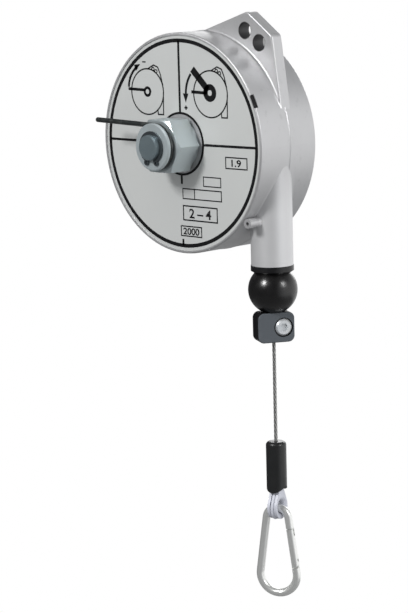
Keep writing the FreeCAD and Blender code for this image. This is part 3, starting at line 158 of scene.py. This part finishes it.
class Shader(Wiring):
    """A material under construction, round its principled shader."""

    def __init__(self, name, color, metallic=0.0, roughness=0.5, gloss=0.5):
        self.material = bpy.data.materials.new(name)
        self.material.use_nodes = True
        super().__init__(self.material.node_tree)
        self.out = self.tree.nodes["Principled BSDF"]
        self.out.inputs["Base Color"].default_value = (*color, 1)
        self.out.inputs["Metallic"].default_value = metallic
        self.out.inputs["Roughness"].default_value = roughness
        self.out.inputs["Specular IOR Level"].default_value = gloss
        self.coords = self.node("ShaderNodeTexCoord").outputs["Object"]

    def noise(self, scale, detail, stretch=None):
        made = self.node("ShaderNodeTexNoise", Scale=scale, Detail=detail, Roughness=0.55)
        if stretch:
            mapping = self.node("ShaderNodeMapping", Scale=stretch)
            self.link(self.coords, mapping.inputs["Vector"])
            self.link(mapping.outputs[0], made.inputs["Vector"])
        else:
            self.link(self.coords, made.inputs["Vector"])
        return made.outputs["Fac"]

    def along(self, way, origin=(0, 0, 0)):
        """How far a point lies from the origin along a direction."""
        made = self.node("ShaderNodeVectorMath", operation="DOT_PRODUCT")
        self.link(self.coords, made.inputs[0])
        made.inputs[1].default_value = way
        return self.math("SUBTRACT", made.outputs["Value"], float(Vector(way).dot(Vector(origin))))

    def from_line(self, origin, one, other):
        """Distance from the line through the origin that is square to two directions."""
        a, b = self.along(one, origin), self.along(other, origin)
        squares = self.math("MULTIPLY", a, a), self.math("MULTIPLY", b, b)
        return self.math("SQRT", self.math("ADD", *squares))

    def tint(self, factor, other):
        """Mixes the base colour so far with another colour by a factor."""
        socket = self.out.inputs["Base Color"]
        mix = self.node("ShaderNodeMix", data_type="RGBA")
        self.link(factor, mix.inputs[0])
        if socket.is_linked:
            self.link(socket.links[0].from_socket, mix.inputs[6])
        else:
            mix.inputs[6].default_value = socket.default_value
        mix.inputs[7].default_value = (*other, 1)
        self.link(mix.outputs[2], socket)

    def stain(self, other, share, scale, detail, low, high):
        """Patches of another colour, none where the noise is at low and that share of it at high."""
        self.tint(self.spread(self.noise(scale, detail), low, high, 0.0, share), other)

    def rough(self, low, high, scale, detail, stretch=None):
        """Lets the roughness wander between low and high."""
        wander = self.spread(self.noise(scale, detail, stretch), 0.3, 0.7, low, high)
        self.link(wander, self.out.inputs["Roughness"])

    def bump(self, height, distance, strength=1.0):
        """Relief from a height of 0 to 1, on top of the relief so far."""
        made = self.node("ShaderNodeBump", Distance=distance, Strength=strength)
        self.link(height, made.inputs["Height"])
        socket = self.out.inputs["Normal"]
        if socket.is_linked:
            self.link(socket.links[0].from_socket, made.inputs["Normal"])
        self.link(made.outputs[0], socket)

    def grain(self, scale, distance, strength, detail=2, stretch=None):
        """Fine random relief."""
        self.bump(self.noise(scale, detail, stretch), distance, strength)


def scaled(color, factors):
    return tuple(c * k for c, k in zip(color, factors))


# painted shade inside the bores of the eyes: a near-black colour, and how much of it
BORE_SHADE, BORE_SHADE_SHARE = (0.05, 0.05, 0.052), 0.93
# painted highlight on the outlet tube: a lighter, less metallic colour that fades out upwards, and
# outwards past the tube's wall
TUBE_HIGHLIGHT, TUBE_HIGHLIGHT_METALLIC = (0.65, 0.65, 0.657), 0.5
HIGHLIGHT_TOP, HIGHLIGHT_FADE = float(bush_low[2]) + 75 * MM, 35 * MM
TUBE_IN, TUBE_OUT = 15.0 * MM, 16.5 * MM


def cast_aluminium():
    """Blasted die casting with faint clouds; a painted highlight makes the outlet tube lighter and less
    metallic, and painted shade darkens the bores of the eyes."""
    metallic = 0.65
    s = Shader("cast_aluminium", (0.56, 0.56, 0.568), metallic, 0.38)
    s.stain((0.52, 0.52, 0.527), 0.4, 28, 4, 0.42, 0.62)
    s.stain((0.36, 0.36, 0.365), 0.25, 220, 2, 0.60, 0.74)
    near_axis = s.spread(s.from_line(ROPE_AXIS, X, Y), TUBE_IN, TUBE_OUT, 1.0, 0.0)
    low_enough = s.spread(s.along(Z), HIGHLIGHT_TOP - HIGHLIGHT_FADE, HIGHLIGHT_TOP, 1.0, 0.0)
    tube_highlight = s.math("MULTIPLY", low_enough, near_axis)
    # painted highlight: the outlet tube gets the lighter colour and less metal
    s.tint(tube_highlight, TUBE_HIGHLIGHT)
    s.link(s.spread(tube_highlight, 0, 1, metallic, TUBE_HIGHLIGHT_METALLIC), s.out.inputs["Metallic"])
    # painted shade: the casting turns near-black inside each bore of the eyes
    for eye in [m for m in frame["record"]["mounts"] if m["kind"] == "bore"]:
        out, r = s.from_line(eye["pos_m"], X, Z), eye["dims"]["r_mm"] * MM
        s.tint(s.spread(out, r + 0.1 * MM, r + 0.5 * MM, BORE_SHADE_SHARE, 0.0), BORE_SHADE)
    s.rough(0.40, 0.46, 90, 3)
    s.grain(1100, 0.04 * MM, 0.16)
    s.grain(200, 0.05 * MM, 0.06)
    return s.material


def dial_aluminium():
    s = Shader("dial_aluminium", (0.56, 0.57, 0.56), 0.15, 0.42)
    s.stain((0.51, 0.52, 0.52), 0.4, 14, 3, 0.4, 0.65)
    s.rough(0.36, 0.48, 420, 3)
    s.grain(2600, 0.03 * MM, 0.35)
    return s.material


def zinc(name="zinc", color=(0.64, 0.71, 0.73), roughness=0.38, metallic=0.8, worn=1.0):
    """Bright zinc plating with faint yellow and blue clouds, and wear on the high spots."""
    s = Shader(name, color, metallic, roughness)
    s.stain(scaled(color, (0.98, 0.95, 0.86)), 0.3 * worn, 70, 4, 0.52, 0.70)
    s.stain(scaled(color, (0.74, 0.79, 0.84)), 0.14 * worn, 70, 4, 0.44, 0.30)
    s.stain(scaled(color, (0.6, 0.6, 0.6)), 0.2 * worn, 420, 3, 0.64, 0.78)
    s.rough(roughness - 0.04 * worn, roughness + 0.06 * worn, 260, 4)
    s.grain(700, 0.03 * MM, 0.2 * worn)
    return s.material


def plastic(name, color, roughness, grain=1400, dusty=0.25, gloss=0.5):
    """Moulded plastic or rubber: fine grain, a little dust and handling shine."""
    s = Shader(name, color, 0.0, roughness, gloss)
    s.stain(tuple(min(1, c * 1.6 + 0.012) for c in color), dusty, 60, 4, 0.5, 0.72)
    s.rough(roughness - 0.06, roughness + 0.08, 150, 3)
    s.grain(grain, 0.05 * MM, 0.3)
    return s.material


CLAMP_BLACK = (0.004, 0.004, 0.005)


def clamp_plastic():
    """Black plastic with its face painted grey as a painted sheen; the sides behind the face are black
    like the other half.
    """
    # this grey base colour is painted sheen on the face of black plastic
    s = Shader("clamp_plastic", (0.088, 0.098, 0.11), 0.0, 0.55, 0.2)
    s.stain((0.13, 0.14, 0.155), 0.4, 60, 4, 0.5, 0.72)
    face = max(v.co.dot(CLAMP_FACING) for v in nodes["clamp_front_half"].data.vertices)
    behind_face = s.spread(s.along(CLAMP_FACING), face - 0.7 * MM, face - 0.3 * MM, 1.0, 0.0)
    s.tint(behind_face, CLAMP_BLACK)
    s.rough(0.44, 0.58, 150, 3)
    s.grain(1800, 0.05 * MM, 0.3)
    return s.material


def steel(name, color, roughness, lines=None):
    """Bare metal; lines stretches its roughness and grain along a direction."""
    s = Shader(name, color, 1.0, roughness)
    s.stain(scaled(color, (0.55, 0.55, 0.55)), 0.5, 300, 3, 0.55, 0.72)
    s.rough(roughness - 0.08, roughness + 0.1, 500, 3, lines)
    s.grain(1200, 0.04 * MM, 0.3, stretch=lines)
    return s.material


def lever_metal():
    s = Shader("lever_metal", (0.045, 0.05, 0.05), 0.7, 0.42)
    s.stain((0.13, 0.14, 0.135), 0.6, 180, 4, 0.52, 0.7)
    s.rough(0.34, 0.52, 300, 3)
    s.grain(700, 0.08 * MM, 0.5, detail=3)
    return s.material


def strand_metal(name):
    s = Shader(name, (0.78, 0.78, 0.76), 0.8, 0.3)
    s.stain((0.24, 0.24, 0.235), 0.5, 900, 2, 0.5, 0.7)
    s.rough(0.3, 0.5, 600, 2)
    return s


def rope_metal():
    """Strands with painted shade in the grooves between them, which lie nearer to the rope's axis."""
    s = strand_metal("rope_metal")
    # painted shade in the grooves between the strands
    groove_shade = s.spread(s.from_line(ROPE_AXIS, X, Y), 0.86 * ROPE_R, 0.97 * ROPE_R, 0.97, 0.0)
    s.tint(groove_shade, (0.02, 0.02, 0.02))
    return s.material


LAY = 20 * MM
STRANDS = 6


def laid_rope():
    """Metal with the relief of laid strands and painted shade between them, worked out from place, so
    that it stays true to size on a stretch that grows."""
    s = strand_metal("laid_rope")
    x, y = s.along(X, ROPE_AXIS), s.along(Y, ROPE_AXIS)
    angle = s.math("MULTIPLY", s.math("ARCTAN2", y, x), STRANDS)
    turned_by = s.math("MULTIPLY", s.along(Z), 2 * math.pi * STRANDS / LAY)
    wave = s.math("SINE", s.math("SUBTRACT", angle, turned_by))
    # painted shade between the strands, where the wave is low
    s.tint(s.spread(wave, -1.0, -0.2, 0.9, 0.0), (0.05, 0.05, 0.05))
    s.bump(wave, 0.3 * MM)
    return s.material


def print_ink():
    s = Shader("print_ink", (0.004, 0.004, 0.005), 0.0, 0.6, 0.25)
    s.rough(0.5, 0.65, 500, 2)
    return s.material


MATERIALS = {
    "cast": cast_aluminium(),
    "dial": dial_aluminium(),
    "zinc": zinc(),
    "hook_zinc": zinc("hook_zinc", (0.90, 0.905, 0.885), 0.3, 0.75, worn=0.15),
    "screw_zinc": zinc("screw_zinc", (0.72, 0.74, 0.76), 0.34, 0.6, worn=2.2),
    "dark_zinc": zinc("dark_zinc", (0.10, 0.115, 0.125), 0.34),
    "arbor_zinc": zinc("arbor_zinc", (0.30, 0.37, 0.40), 0.32),
    "matt_zinc": zinc("matt_zinc", (0.52, 0.58, 0.60), 0.4, 0.6),
    "bush_black": plastic("bush_black", (0.004, 0.004, 0.005), 0.3),
    "ball_rubber": plastic("ball_rubber", (0.003, 0.0026, 0.003), 0.27, grain=900, dusty=0.1, gloss=0.65),
    "clamp_face_sheen": clamp_plastic(),
    "clamp_black": plastic("clamp_black", CLAMP_BLACK, 0.55, gloss=0.15),
    "sleeve_black": plastic("sleeve_black", (0.012, 0.0125, 0.013), 0.34),
    "thimble": plastic("thimble", (0.53, 0.54, 0.60), 0.38, grain=1200, dusty=0.2),
    "washer": plastic("washer", (0.72, 0.70, 0.62), 0.45),
    "lever": lever_metal(),
    "bronze": steel("bronze", (0.55, 0.38, 0.19), 0.4),
    "spring": steel("spring", (0.20, 0.22, 0.26), 0.32, (1, 40, 1)),
    "rope": rope_metal(),
    "laid": laid_rope(),
    "ink": print_ink(),
}
NODE_LOOKS = {
    "cast": ("housing_casting", "rear_cover", "rope_drum", "drum_cover", "rope_ferrule"),
    "dial": ("label_plate",),
    "zinc": (
        "hub_sleeve", "hub_key", "rear_cover_screws", "drum_cover_screws", "rope_anchor",
        "spring_rivet", "clamp_nut", "gate_spring",
    ),
    "hook_zinc": ("hook_body", "hook_gate", "gate_pin"),
    "screw_zinc": ("clamp_screw", "stop_pin"),
    "dark_zinc": ("retaining_ring",),
    "arbor_zinc": ("arbor",),
    "matt_zinc": ("hub_collar",),
    "bush_black": ("outlet_bush",),
    "ball_rubber": ("ball_buffer",),
    "clamp_face_sheen": ("clamp_front_half",),
    "clamp_black": ("clamp_rear_half",),
    "sleeve_black": ("rope_sleeve",),
    "thimble": ("thimble",),
    "washer": ("front_thrust_washer", "rear_thrust_washer"),
    "lever": ("release_lever",),
    "bronze": ("front_bush", "rear_bush", "drum_front_bush", "drum_rear_bush"),
    "spring": ("power_spring",),
    "laid": ("rope_winding",),
}
for look, names in NODE_LOOKS.items():
    for name in names:
        for slot in nodes[name].material_slots:
            slot.material = MATERIALS[look]


def new_object(name, mesh, material):
    made = bpy.data.objects.new(name, mesh)
    scene.collection.objects.link(made)
    mesh.materials.clear()
    mesh.materials.append(material)
    return made


def new_piece(name, mesh, look, body):
    """An object of the scene's own that rides on a body."""
    piece = new_object(name, mesh, MATERIALS[look])
    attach(piece, body)
    return piece


def as_mesh(name, made, smooth=False):
    """Turns a bmesh into a mesh and frees it."""
    mesh = bpy.data.meshes.new(name)
    made.to_mesh(mesh)
    made.free()
    if smooth:
        for polygon in mesh.polygons:
            polygon.use_smooth = True
    return mesh


def outward(made):
    """Turns all faces of a closed bmesh outwards."""
    bmesh.ops.recalc_face_normals(made, faces=made.faces)
    return made


def angles(start, span, steps):
    """Angles in radians from a start through a span in degrees. A whole turn leaves out the last
    one, which would be the first again."""
    count = steps if abs(span) >= 360 else steps + 1
    return [math.radians(start + span * i / steps) for i in range(count)]


# ---------------------------------------------------------------- print on the dial
INK_T = 0.06 * MM
# in millimetres: the middle line of the ring round the dial, and where lines stop at the hub
DIAL_RING_R, HUB_STOP_R = 69.7, 21.4


class Print:
    """Flat black marks on the dial, drawn in millimetres from its middle."""

    def __init__(self):
        self.mesh = bmesh.new()

    def face(self, points):
        """A thin plate with that outline, which goes round anticlockwise seen from the front."""
        back = [self.mesh.verts.new((DIAL.x + x * MM, DIAL.y, DIAL.z + z * MM)) for x, z in points]
        front = [self.mesh.verts.new((v.co.x, v.co.y - INK_T, v.co.z)) for v in back]
        count = len(points)
        self.mesh.faces.new(front)
        self.mesh.faces.new(back[::-1])
        for i in range(count):
            j = (i + 1) % count
            self.mesh.faces.new((back[i], back[j], front[j], front[i]))

    def stroke(self, points, width, closed=False):
        """A line of that width through the points, with mitred corners."""
        points = [Vector(p) for p in points]
        count = len(points)
        sides = []
        for i, p in enumerate(points):
            ways = []
            if i or closed:
                ways.append((p - points[i - 1]).normalized())
            if i < count - 1 or closed:
                ways.append((points[(i + 1) % count] - p).normalized())
            along = (ways[0] + ways[-1]).normalized()
            across = Vector((-along.y, along.x))
            reach = width / 2 / max(0.3, along.dot(ways[0]))
            sides.append((p + across * reach, p - across * reach))
        for i in range(count if closed else count - 1):
            a, b = sides[i], sides[(i + 1) % count]
            self.face([a[1], b[1], b[0], a[0]])

    def arc(self, centre, radius, width, start=0.0, end=360.0, step=4):
        """A round line, in degrees anticlockwise from the right, with a corner each step."""
        span = end - start
        turns = angles(start, span, max(4, int(abs(span) / step)))
        points = [(centre[0] + radius * math.cos(t), centre[1] + radius * math.sin(t)) for t in turns]
        self.stroke(points, width, abs(span) >= 360)

    def arrow(self, tip, way, size):
        """A filled arrow head."""
        tip, way = Vector(tip), Vector(way).normalized()
        across = Vector((-way.y, way.x)) * size * 0.42
        foot = tip - way * size
        self.face([tip, foot + across, foot - across])

    def box(self, left, bottom, right, top, width):
        self.stroke([(left, bottom), (right, bottom), (right, top), (left, top)], width, True)

    def picture(self, centre, radius):
        """A plain drawing of the balancer itself: round body, bracket with eyes, and outlet."""
        bracket = ((0.06, 1.0), (0.42, 1.17), (0.68, 1.08), (0.82, 0.8), (0.97, 0.3))
        outlet = ((0.99, 0), (0.97, -0.98), (0.64, -0.98), (0.62, -0.76))
        eyes = ((0.38, 1.0), (0.56, 0.9))
        x, z = centre
        self.arc(centre, radius, 1.0)
        for line in (bracket, outlet):
            self.stroke([(x + radius * dx, z + radius * dz) for dx, dz in line], 0.95)
        for dx, dz in eyes:
            self.arc((x + radius * dx, z + radius * dz), radius * 0.075, 0.8, step=30)


def dial_print():
    ink = Print()
    ink.arc((0, 0), DIAL_RING_R, 2.6, step=2)
    # lines that divide the dial: the one up, the two ends of the one down, left, right
    ink.stroke([(-0.3, DIAL_RING_R), (-0.3, HUB_STOP_R)], 1.9)
    ink.stroke([(-0.4, -HUB_STOP_R), (-0.4, -27.4)], 1.8)
    ink.stroke([(-0.5, -65.2), (-0.5, -DIAL_RING_R)], 1.8)
    ink.stroke([(-DIAL_RING_R, 0.5), (-HUB_STOP_R, 0.3)], 1.7)
    ink.stroke([(HUB_STOP_R, 0), (DIAL_RING_R, 0.3)], 1.7)
    left, right, radius = (-31.3, 34.4), (28.8, 34.4), 15.6
    # left picture: the lever lifts to let the spring off, with a minus
    ink.picture(left, radius)
    ink.arc(left, 2.7, 1.9, step=20)
    ink.stroke([(-50.0, 35.9), (-33.6, 35.4)], 2.0)
    ink.arc((-32.5, 36), 17.2, 1.9, 176, 118, step=8)
    ink.arrow((-38.0, 53.1), (1, 0.55), 5.6)
    ink.stroke([(-35.6, 54.6), (-32.4, 54.6)], 1.0)
    # right picture: the wrench turns the hub to wind the spring, with a plus
    ink.picture(right, radius)
    ink.arc((28.2, 35.2), 4.0, 4.0, step=20)
    ink.stroke([(12.2, 50.7), (26.4, 37.2)], 5.0)
    ink.stroke([(11.0, 35.5), (25.6, 35.0)], 2.1)
    ink.arc((26.5, 33.8), 20.8, 1.9, 139, 180, step=6)
    ink.arrow((5.5, 28.0), (0, -1), 6.2)
    ink.stroke([(4.0, 24.6), (7.0, 24.6)], 1.1)
    ink.stroke([(5.5, 26.1), (5.5, 23.1)], 1.1)
    # number fields
    ink.box(41.4, -14.5, 60.8, -7.1, 0.85)
    ink.box(20.2, -27.8, 36.3, -21.5, 0.75)
    ink.box(0.3, -37.3, 36.6, -30.5, 0.8)
    ink.stroke([(11.4, -30.5), (11.4, -37.3)], 0.8)
    ink.box(0.4, -51.9, 32.3, -42.2, 0.95)
    ink.box(-2.2, -62.9, 17.2, -56.2, 0.85)
    return as_mesh("dial_print", outward(ink.mesh))


# thickens the digits; much more of it closes their loops
DIGIT_WEIGHT = 0.022


def number_mesh(text, left, bottom, right, top):
    """Digits as flat faces that fill a field of the dial, in millimetres from its middle."""
    curve = bpy.data.curves.new("digits", "FONT")
    curve.body, curve.size, curve.extrude, curve.offset = text, 1.0, 0.0, DIGIT_WEIGHT
    holder = bpy.data.objects.new("digits", curve)
    scene.collection.objects.link(holder)
    bpy.context.view_layer.update()
    mesh = bpy.data.meshes.new_from_object(holder)
    bpy.data.objects.remove(holder)
    xs, ys = [v.co.x for v in mesh.vertices], [v.co.y for v in mesh.vertices]
    wide, high = max(xs) - min(xs), max(ys) - min(ys)
    for v in mesh.vertices:
        x = left + (v.co.x - min(xs)) / wide * (right - left)
        z = bottom + (v.co.y - min(ys)) / high * (top - bottom)
        v.co = Vector((DIAL.x + x * MM, DIAL.y - INK_T, DIAL.z + z * MM))
    return mesh


def join_meshes(name, meshes):
    joined = bmesh.new()
    for mesh in meshes:
        joined.from_mesh(mesh)
    return as_mesh(name, joined)


def around_dial(name, profile, start, span, steps):
    """A solid from (radius, depth) points in millimetres, swept round the dial's axis from a
    start through a span in degrees, with end faces unless it goes all the way round."""
    made = bmesh.new()
    rings = []
    for t in angles(start, span, steps):
        way = Vector((math.cos(t), 0, math.sin(t)))
        rings.append([made.verts.new(DIAL + way * r * MM + Vector((0, y * MM, 0))) for r, y in profile])
    count = len(profile)
    for k in range(steps):
        a, b = rings[k], rings[(k + 1) % len(rings)]
        for i in range(count):
            j = (i + 1) % count
            made.faces.new((a[i], a[j], b[j], b[i]))
    if len(rings) > steps:
        made.faces.new(rings[0])
        made.faces.new(rings[-1][::-1])
    return as_mesh(name, outward(made))


HUB_RING = (
    (20.1, -0.30), (20.1, -0.38), (21.5, -0.38), (21.6, -0.30), (21.6, 0), (20.83, 0), (20.83, -0.30),
)
hub_ring = new_piece("hub_ring", around_dial("hub_ring", HUB_RING, 0, 360, 96), "ink", "housing")

# a black piece fills the notch of the rim, as painted shade in the notch
NOTCH_START, NOTCH_SPAN = 21.2, 6.6
NOTCH_SHADE_IN, NOTCH_SHADE_MID, NOTCH_SHADE_OUT = BODY_R - 1.4, BODY_R - 0.5, BODY_R - 0.15
NOTCH_SHADE = ((NOTCH_SHADE_IN, 1.6), (NOTCH_SHADE_IN, -0.2), (NOTCH_SHADE_MID, 0.1), (NOTCH_SHADE_OUT, 0.9), (NOTCH_SHADE_OUT, 1.6))
notch_shade_mesh = around_dial("rim_notch_shade", NOTCH_SHADE, NOTCH_START, NOTCH_SPAN, 6)
rim_notch_shade = new_piece("rim_notch_shade", notch_shade_mesh, "ink", "housing")
dial_marks = new_piece("dial_print", dial_print(), "ink", "housing")
digits = join_meshes("dial_digits", [
    number_mesh("2 \u2013 4", 6.0, -50.4, 26.6, -43.8),
    number_mesh("2000", -0.2, -62.0, 15.0, -57.2),
    number_mesh("1.9", 46.6, -13.2, 55.4, -8.4),
])
dial_digits = new_piece("dial_digits", digits, "ink", "housing")
thick = dial_digits.modifiers.new("thick", "SOLIDIFY")
thick.thickness, thick.offset = INK_T, -1


# ---------------------------------------------------------------- rope
# a strand's radius beside the rope's, and the core's beside the circle that the strands lie on
STRAND_SHARE, CORE_SHARE = 0.345, 0.8


def frames_along(points):
    """For each point, two directions square to the line, which don't twist about it."""
    side = None
    for i, p in enumerate(points):
        along = (points[min(i + 1, len(points) - 1)] - points[max(i - 1, 0)]).normalized()
        if side is None:
            side = along.orthogonal().normalized()
        side = (side - along * side.dot(along)).normalized()
        yield p, side, along.cross(side)


def tube(mesh, points, radius, sides):
    """Adds a round tube along points, with closed ends, to a bmesh."""
    rings = []
    for p, one, other in frames_along(points):
        rings.append([
            mesh.verts.new(p + (one * math.cos(t) + other * math.sin(t)) * radius)
            for t in angles(0, 360, sides)
        ])
    for a, b in zip(rings, rings[1:]):
        for k in range(sides):
            m = (k + 1) % sides
            mesh.faces.new((a[k], a[m], b[m], b[k]))
    mesh.faces.new(rings[0][::-1])
    mesh.faces.new(rings[-1])


def tube_along(name, path, radius, sides):
    made = bmesh.new()
    tube(made, path, radius, sides)
    return as_mesh(name, made, smooth=True)


def strands_along(name, path, radius):
    """Laid strands round a core, along points that are close together."""
    made = bmesh.new()
    strand_r = radius * STRAND_SHARE
    ring_r = radius - strand_r
    length, frames = 0.0, []
    for i, (p, one, other) in enumerate(frames_along(path)):
        if i:
            length += (p - path[i - 1]).length
        frames.append((p, one, other, 2 * math.pi * length / LAY))
    for k in range(STRANDS):
        start = 2 * math.pi * k / STRANDS
        line = [
            p + (one * math.cos(start + turn) + other * math.sin(start + turn)) * ring_r
            for p, one, other, turn in frames
        ]
        tube(made, line, strand_r, 8)
    tube(made, path[::2], ring_r * CORE_SHARE, 8)
    return as_mesh(name, made, smooth=True)


def smooth_line(name, points, resolution):
    """Points along the NURBS line that has those control points."""
    curve = bpy.data.curves.new(name, "CURVE")
    curve.dimensions, curve.resolution_u = "3D", resolution
    spline = curve.splines.new("NURBS")
    spline.points.add(len(points) - 1)
    for point, place in zip(spline.points, points):
        point.co = (*place, 1)
    spline.order_u, spline.use_endpoint_u = 3, True
    holder = bpy.data.objects.new(name, curve)
    scene.collection.objects.link(holder)
    bpy.context.view_layer.update()
    mesh = bpy.data.meshes.new_from_object(holder)
    line = [v.co.copy() for v in mesh.vertices]
    bpy.data.objects.remove(holder)
    return line


def down_rope(high, low):
    """The ends and the middle of a stretch of the hanging rope."""
    return [Vector((ROPE_X, ROPE_Y, z)) for z in (high, (high + low) / 2, low)]


# the rope parts in the middle of the ball: below, it moves with the hook; above, it rides on no body
ROPE_SPLIT = (ball_low[2] + ball_high[2]) / 2
lower_path = smooth_line("rope_line", down_rope(ROPE_SPLIT, ROPE_END), 180)
strands = strands_along("rope_lower", lower_path, ROPE_R)
rope_lower = new_piece("rope_lower", strands, "rope", "rope_end")
upper_path = smooth_line("rope_line", down_rope(ROPE_TOP, ROPE_SPLIT), 40)
upper_mesh = tube_along("rope_upper", upper_path, ROPE_R * 0.98, 20)
rope_upper = new_object("rope_upper", upper_mesh, MATERIALS["laid"])
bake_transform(rope_upper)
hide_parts("rope")
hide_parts("rope")

# the rope eye: two legs from the ferrule, out to the thimble's flanks and round its foot
EYE_TURN = math.radians(104.5)
EYE_LEG, EYE_R = 1.5 * MM, 7.1 * MM
EYE_FOOT = eye_low[2] + ROPE_R + EYE_R
ACROSS = Vector((math.cos(EYE_TURN), math.sin(EYE_TURN), 0))
# one half of it, from the top down: distance from the rope's line, and height
EYE_HALF = [
    (EYE_LEG, eye_high[2]), (EYE_LEG, EYE_FOOT + 17 * MM), (EYE_LEG * 1.15, EYE_FOOT + 12.6 * MM),
    (EYE_R * 0.86, EYE_FOOT + 4.6 * MM), (EYE_R * 1.07, EYE_FOOT + 0.6 * MM),
    (EYE_R * 1.02, EYE_FOOT - 3.4 * MM), (EYE_R * 0.64, EYE_FOOT - EYE_R * 0.96),
    (0.0, EYE_FOOT - EYE_R * 1.05),
]
eye_route = [Vector((ROPE_X, ROPE_Y, z)) + ACROSS * x for x, z in EYE_HALF]
eye_route += [Vector((ROPE_X, ROPE_Y, z)) - ACROSS * x for x, z in EYE_HALF[-2::-1]]
loop_path = smooth_line("eye_line", eye_route, 12)
sheath = tube_along("rope_loop", loop_path, ROPE_R * 1.04, 24)
rope_loop = new_piece("rope_loop", sheath, "thimble", "rope_end")
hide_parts("rope_eye")

# ---------------------------------------------------------------- floor, world and lights
FLOOR_Z, FLOOR_HALF = -2.7, 5.0
FLOOR_COLOR = (0.28, 0.28, 0.28)


def floor_material():
    """White for the camera; grey for the part, with a faint glow that grows towards the back."""
    s = Shader("floor_white", FLOOR_COLOR, 0.0, 1.0)
    s.out.inputs["Emission Color"].default_value = (1, 1, 1, 1)
    s.link(s.spread(s.along(Y), -1.5, 2.0, 0.02, 0.14), s.out.inputs["Emission Strength"])
    seen = s.node("ShaderNodeLightPath").outputs["Is Camera Ray"]
    white = s.node("ShaderNodeEmission").outputs[0]
    shown = s.mix(seen, s.out.outputs[0], white)
    s.link(shown, s.tree.nodes["Material Output"].inputs[0])
    return s.material


floor_mesh = bpy.data.meshes.new("floor")
corners = [(x * FLOOR_HALF, y * FLOOR_HALF, FLOOR_Z) for x, y in ((-1, -1), (1, -1), (1, 1), (-1, 1))]
floor_mesh.from_pydata(corners, [], [(0, 1, 2, 3)])
floor = new_object("floor", floor_mesh, floor_material())

SKY = (0.97, 0.985, 1.0, 1)
WHITE = (1, 1, 1, 1)
SOFT_FILL = 0.42


def studio():
    """The world. The camera sees white, and so do mirrored and transmitted rays that leave for
    the backdrop behind the part, to the right. What else the part mirrors fades from there into
    a dark studio in front, to the left and overhead. Matt surfaces get a soft fill as well."""
    world = bpy.data.worlds.new("studio")
    world.use_nodes = True
    w = Wiring(world.node_tree)
    for old in list(w.tree.nodes):
        w.tree.nodes.remove(old)
    ray = w.node("ShaderNodeLightPath").outputs
    axes = w.node("ShaderNodeSeparateXYZ")
    w.link(w.node("ShaderNodeTexCoord").outputs["Generated"], axes.inputs[0])
    x, y, z = axes.outputs
    to_back_right = w.math("ADD", w.math("MULTIPLY", x, 0.5), w.math("MULTIPLY", y, 0.86))
    behind = w.spread(to_back_right, -0.15, 0.75, 0.0, 0.93, "SMOOTHSTEP")
    low_down = w.spread(z, 0.0, 0.6, 1.0, 0.12, "SMOOTHSTEP")
    ahead = w.spread(y, -0.8, -0.2, 0.15, 0.09, "SMOOTHSTEP")
    level = w.math("ADD", w.math("MULTIPLY", behind, low_down), ahead)
    backdrop = w.math("MULTIPLY", w.spread(to_back_right, 0.5, 0.8, 0.0, 1.0, "SMOOTHSTEP"), low_down)

    mirrored, matt, white = (w.node("ShaderNodeBackground", Color=color) for color in (SKY, SKY, WHITE))
    w.link(level, mirrored.inputs["Strength"])
    w.link(w.math("ADD", level, SOFT_FILL), matt.inputs["Strength"])
    on_part = w.mix(ray["Is Diffuse Ray"], mirrored.outputs[0], matt.outputs[0])
    on_metal_and_glass = w.math("MAXIMUM", ray["Is Glossy Ray"], ray["Is Transmission Ray"])
    shown = w.math("MAXIMUM", ray["Is Camera Ray"], w.math("MULTIPLY", on_metal_and_glass, backdrop))
    output = w.node("ShaderNodeOutputWorld")
    w.link(w.mix(shown, on_part, white.outputs[0]), output.inputs[0])
    return world


scene.world = studio()
LIT_POINT = Vector((-0.01, -0.01, -0.15))


def softbox(name, azimuth, elevation, distance, wide, high, power):
    """A rectangular lamp at an angle to the camera's line, right and up of it."""
    a, e = math.radians(azimuth), math.radians(elevation)
    way = RIGHT * math.sin(a) * math.cos(e) + UP * math.sin(e) + BACK * math.cos(a) * math.cos(e)
    data = bpy.data.lights.new(name, "AREA")
    data.shape, data.size, data.size_y, data.energy = "RECTANGLE", wide, high, power
    lamp = bpy.data.objects.new(name, data)
    scene.collection.objects.link(lamp)
    lamp.location = LIT_POINT + way * distance
    lamp.rotation_euler = way.to_track_quat("Z", "Y").to_euler()


softbox("left_box", azimuth=-46, elevation=26, distance=1.5, wide=0.26, high=0.33, power=15)
softbox("right_box", azimuth=50, elevation=20, distance=1.3, wide=0.18, high=0.27, power=5)
softbox("rear_box", azimuth=165, elevation=25, distance=1.5, wide=0.8, high=0.8, power=6)
scene.view_settings.view_transform = "Standard"
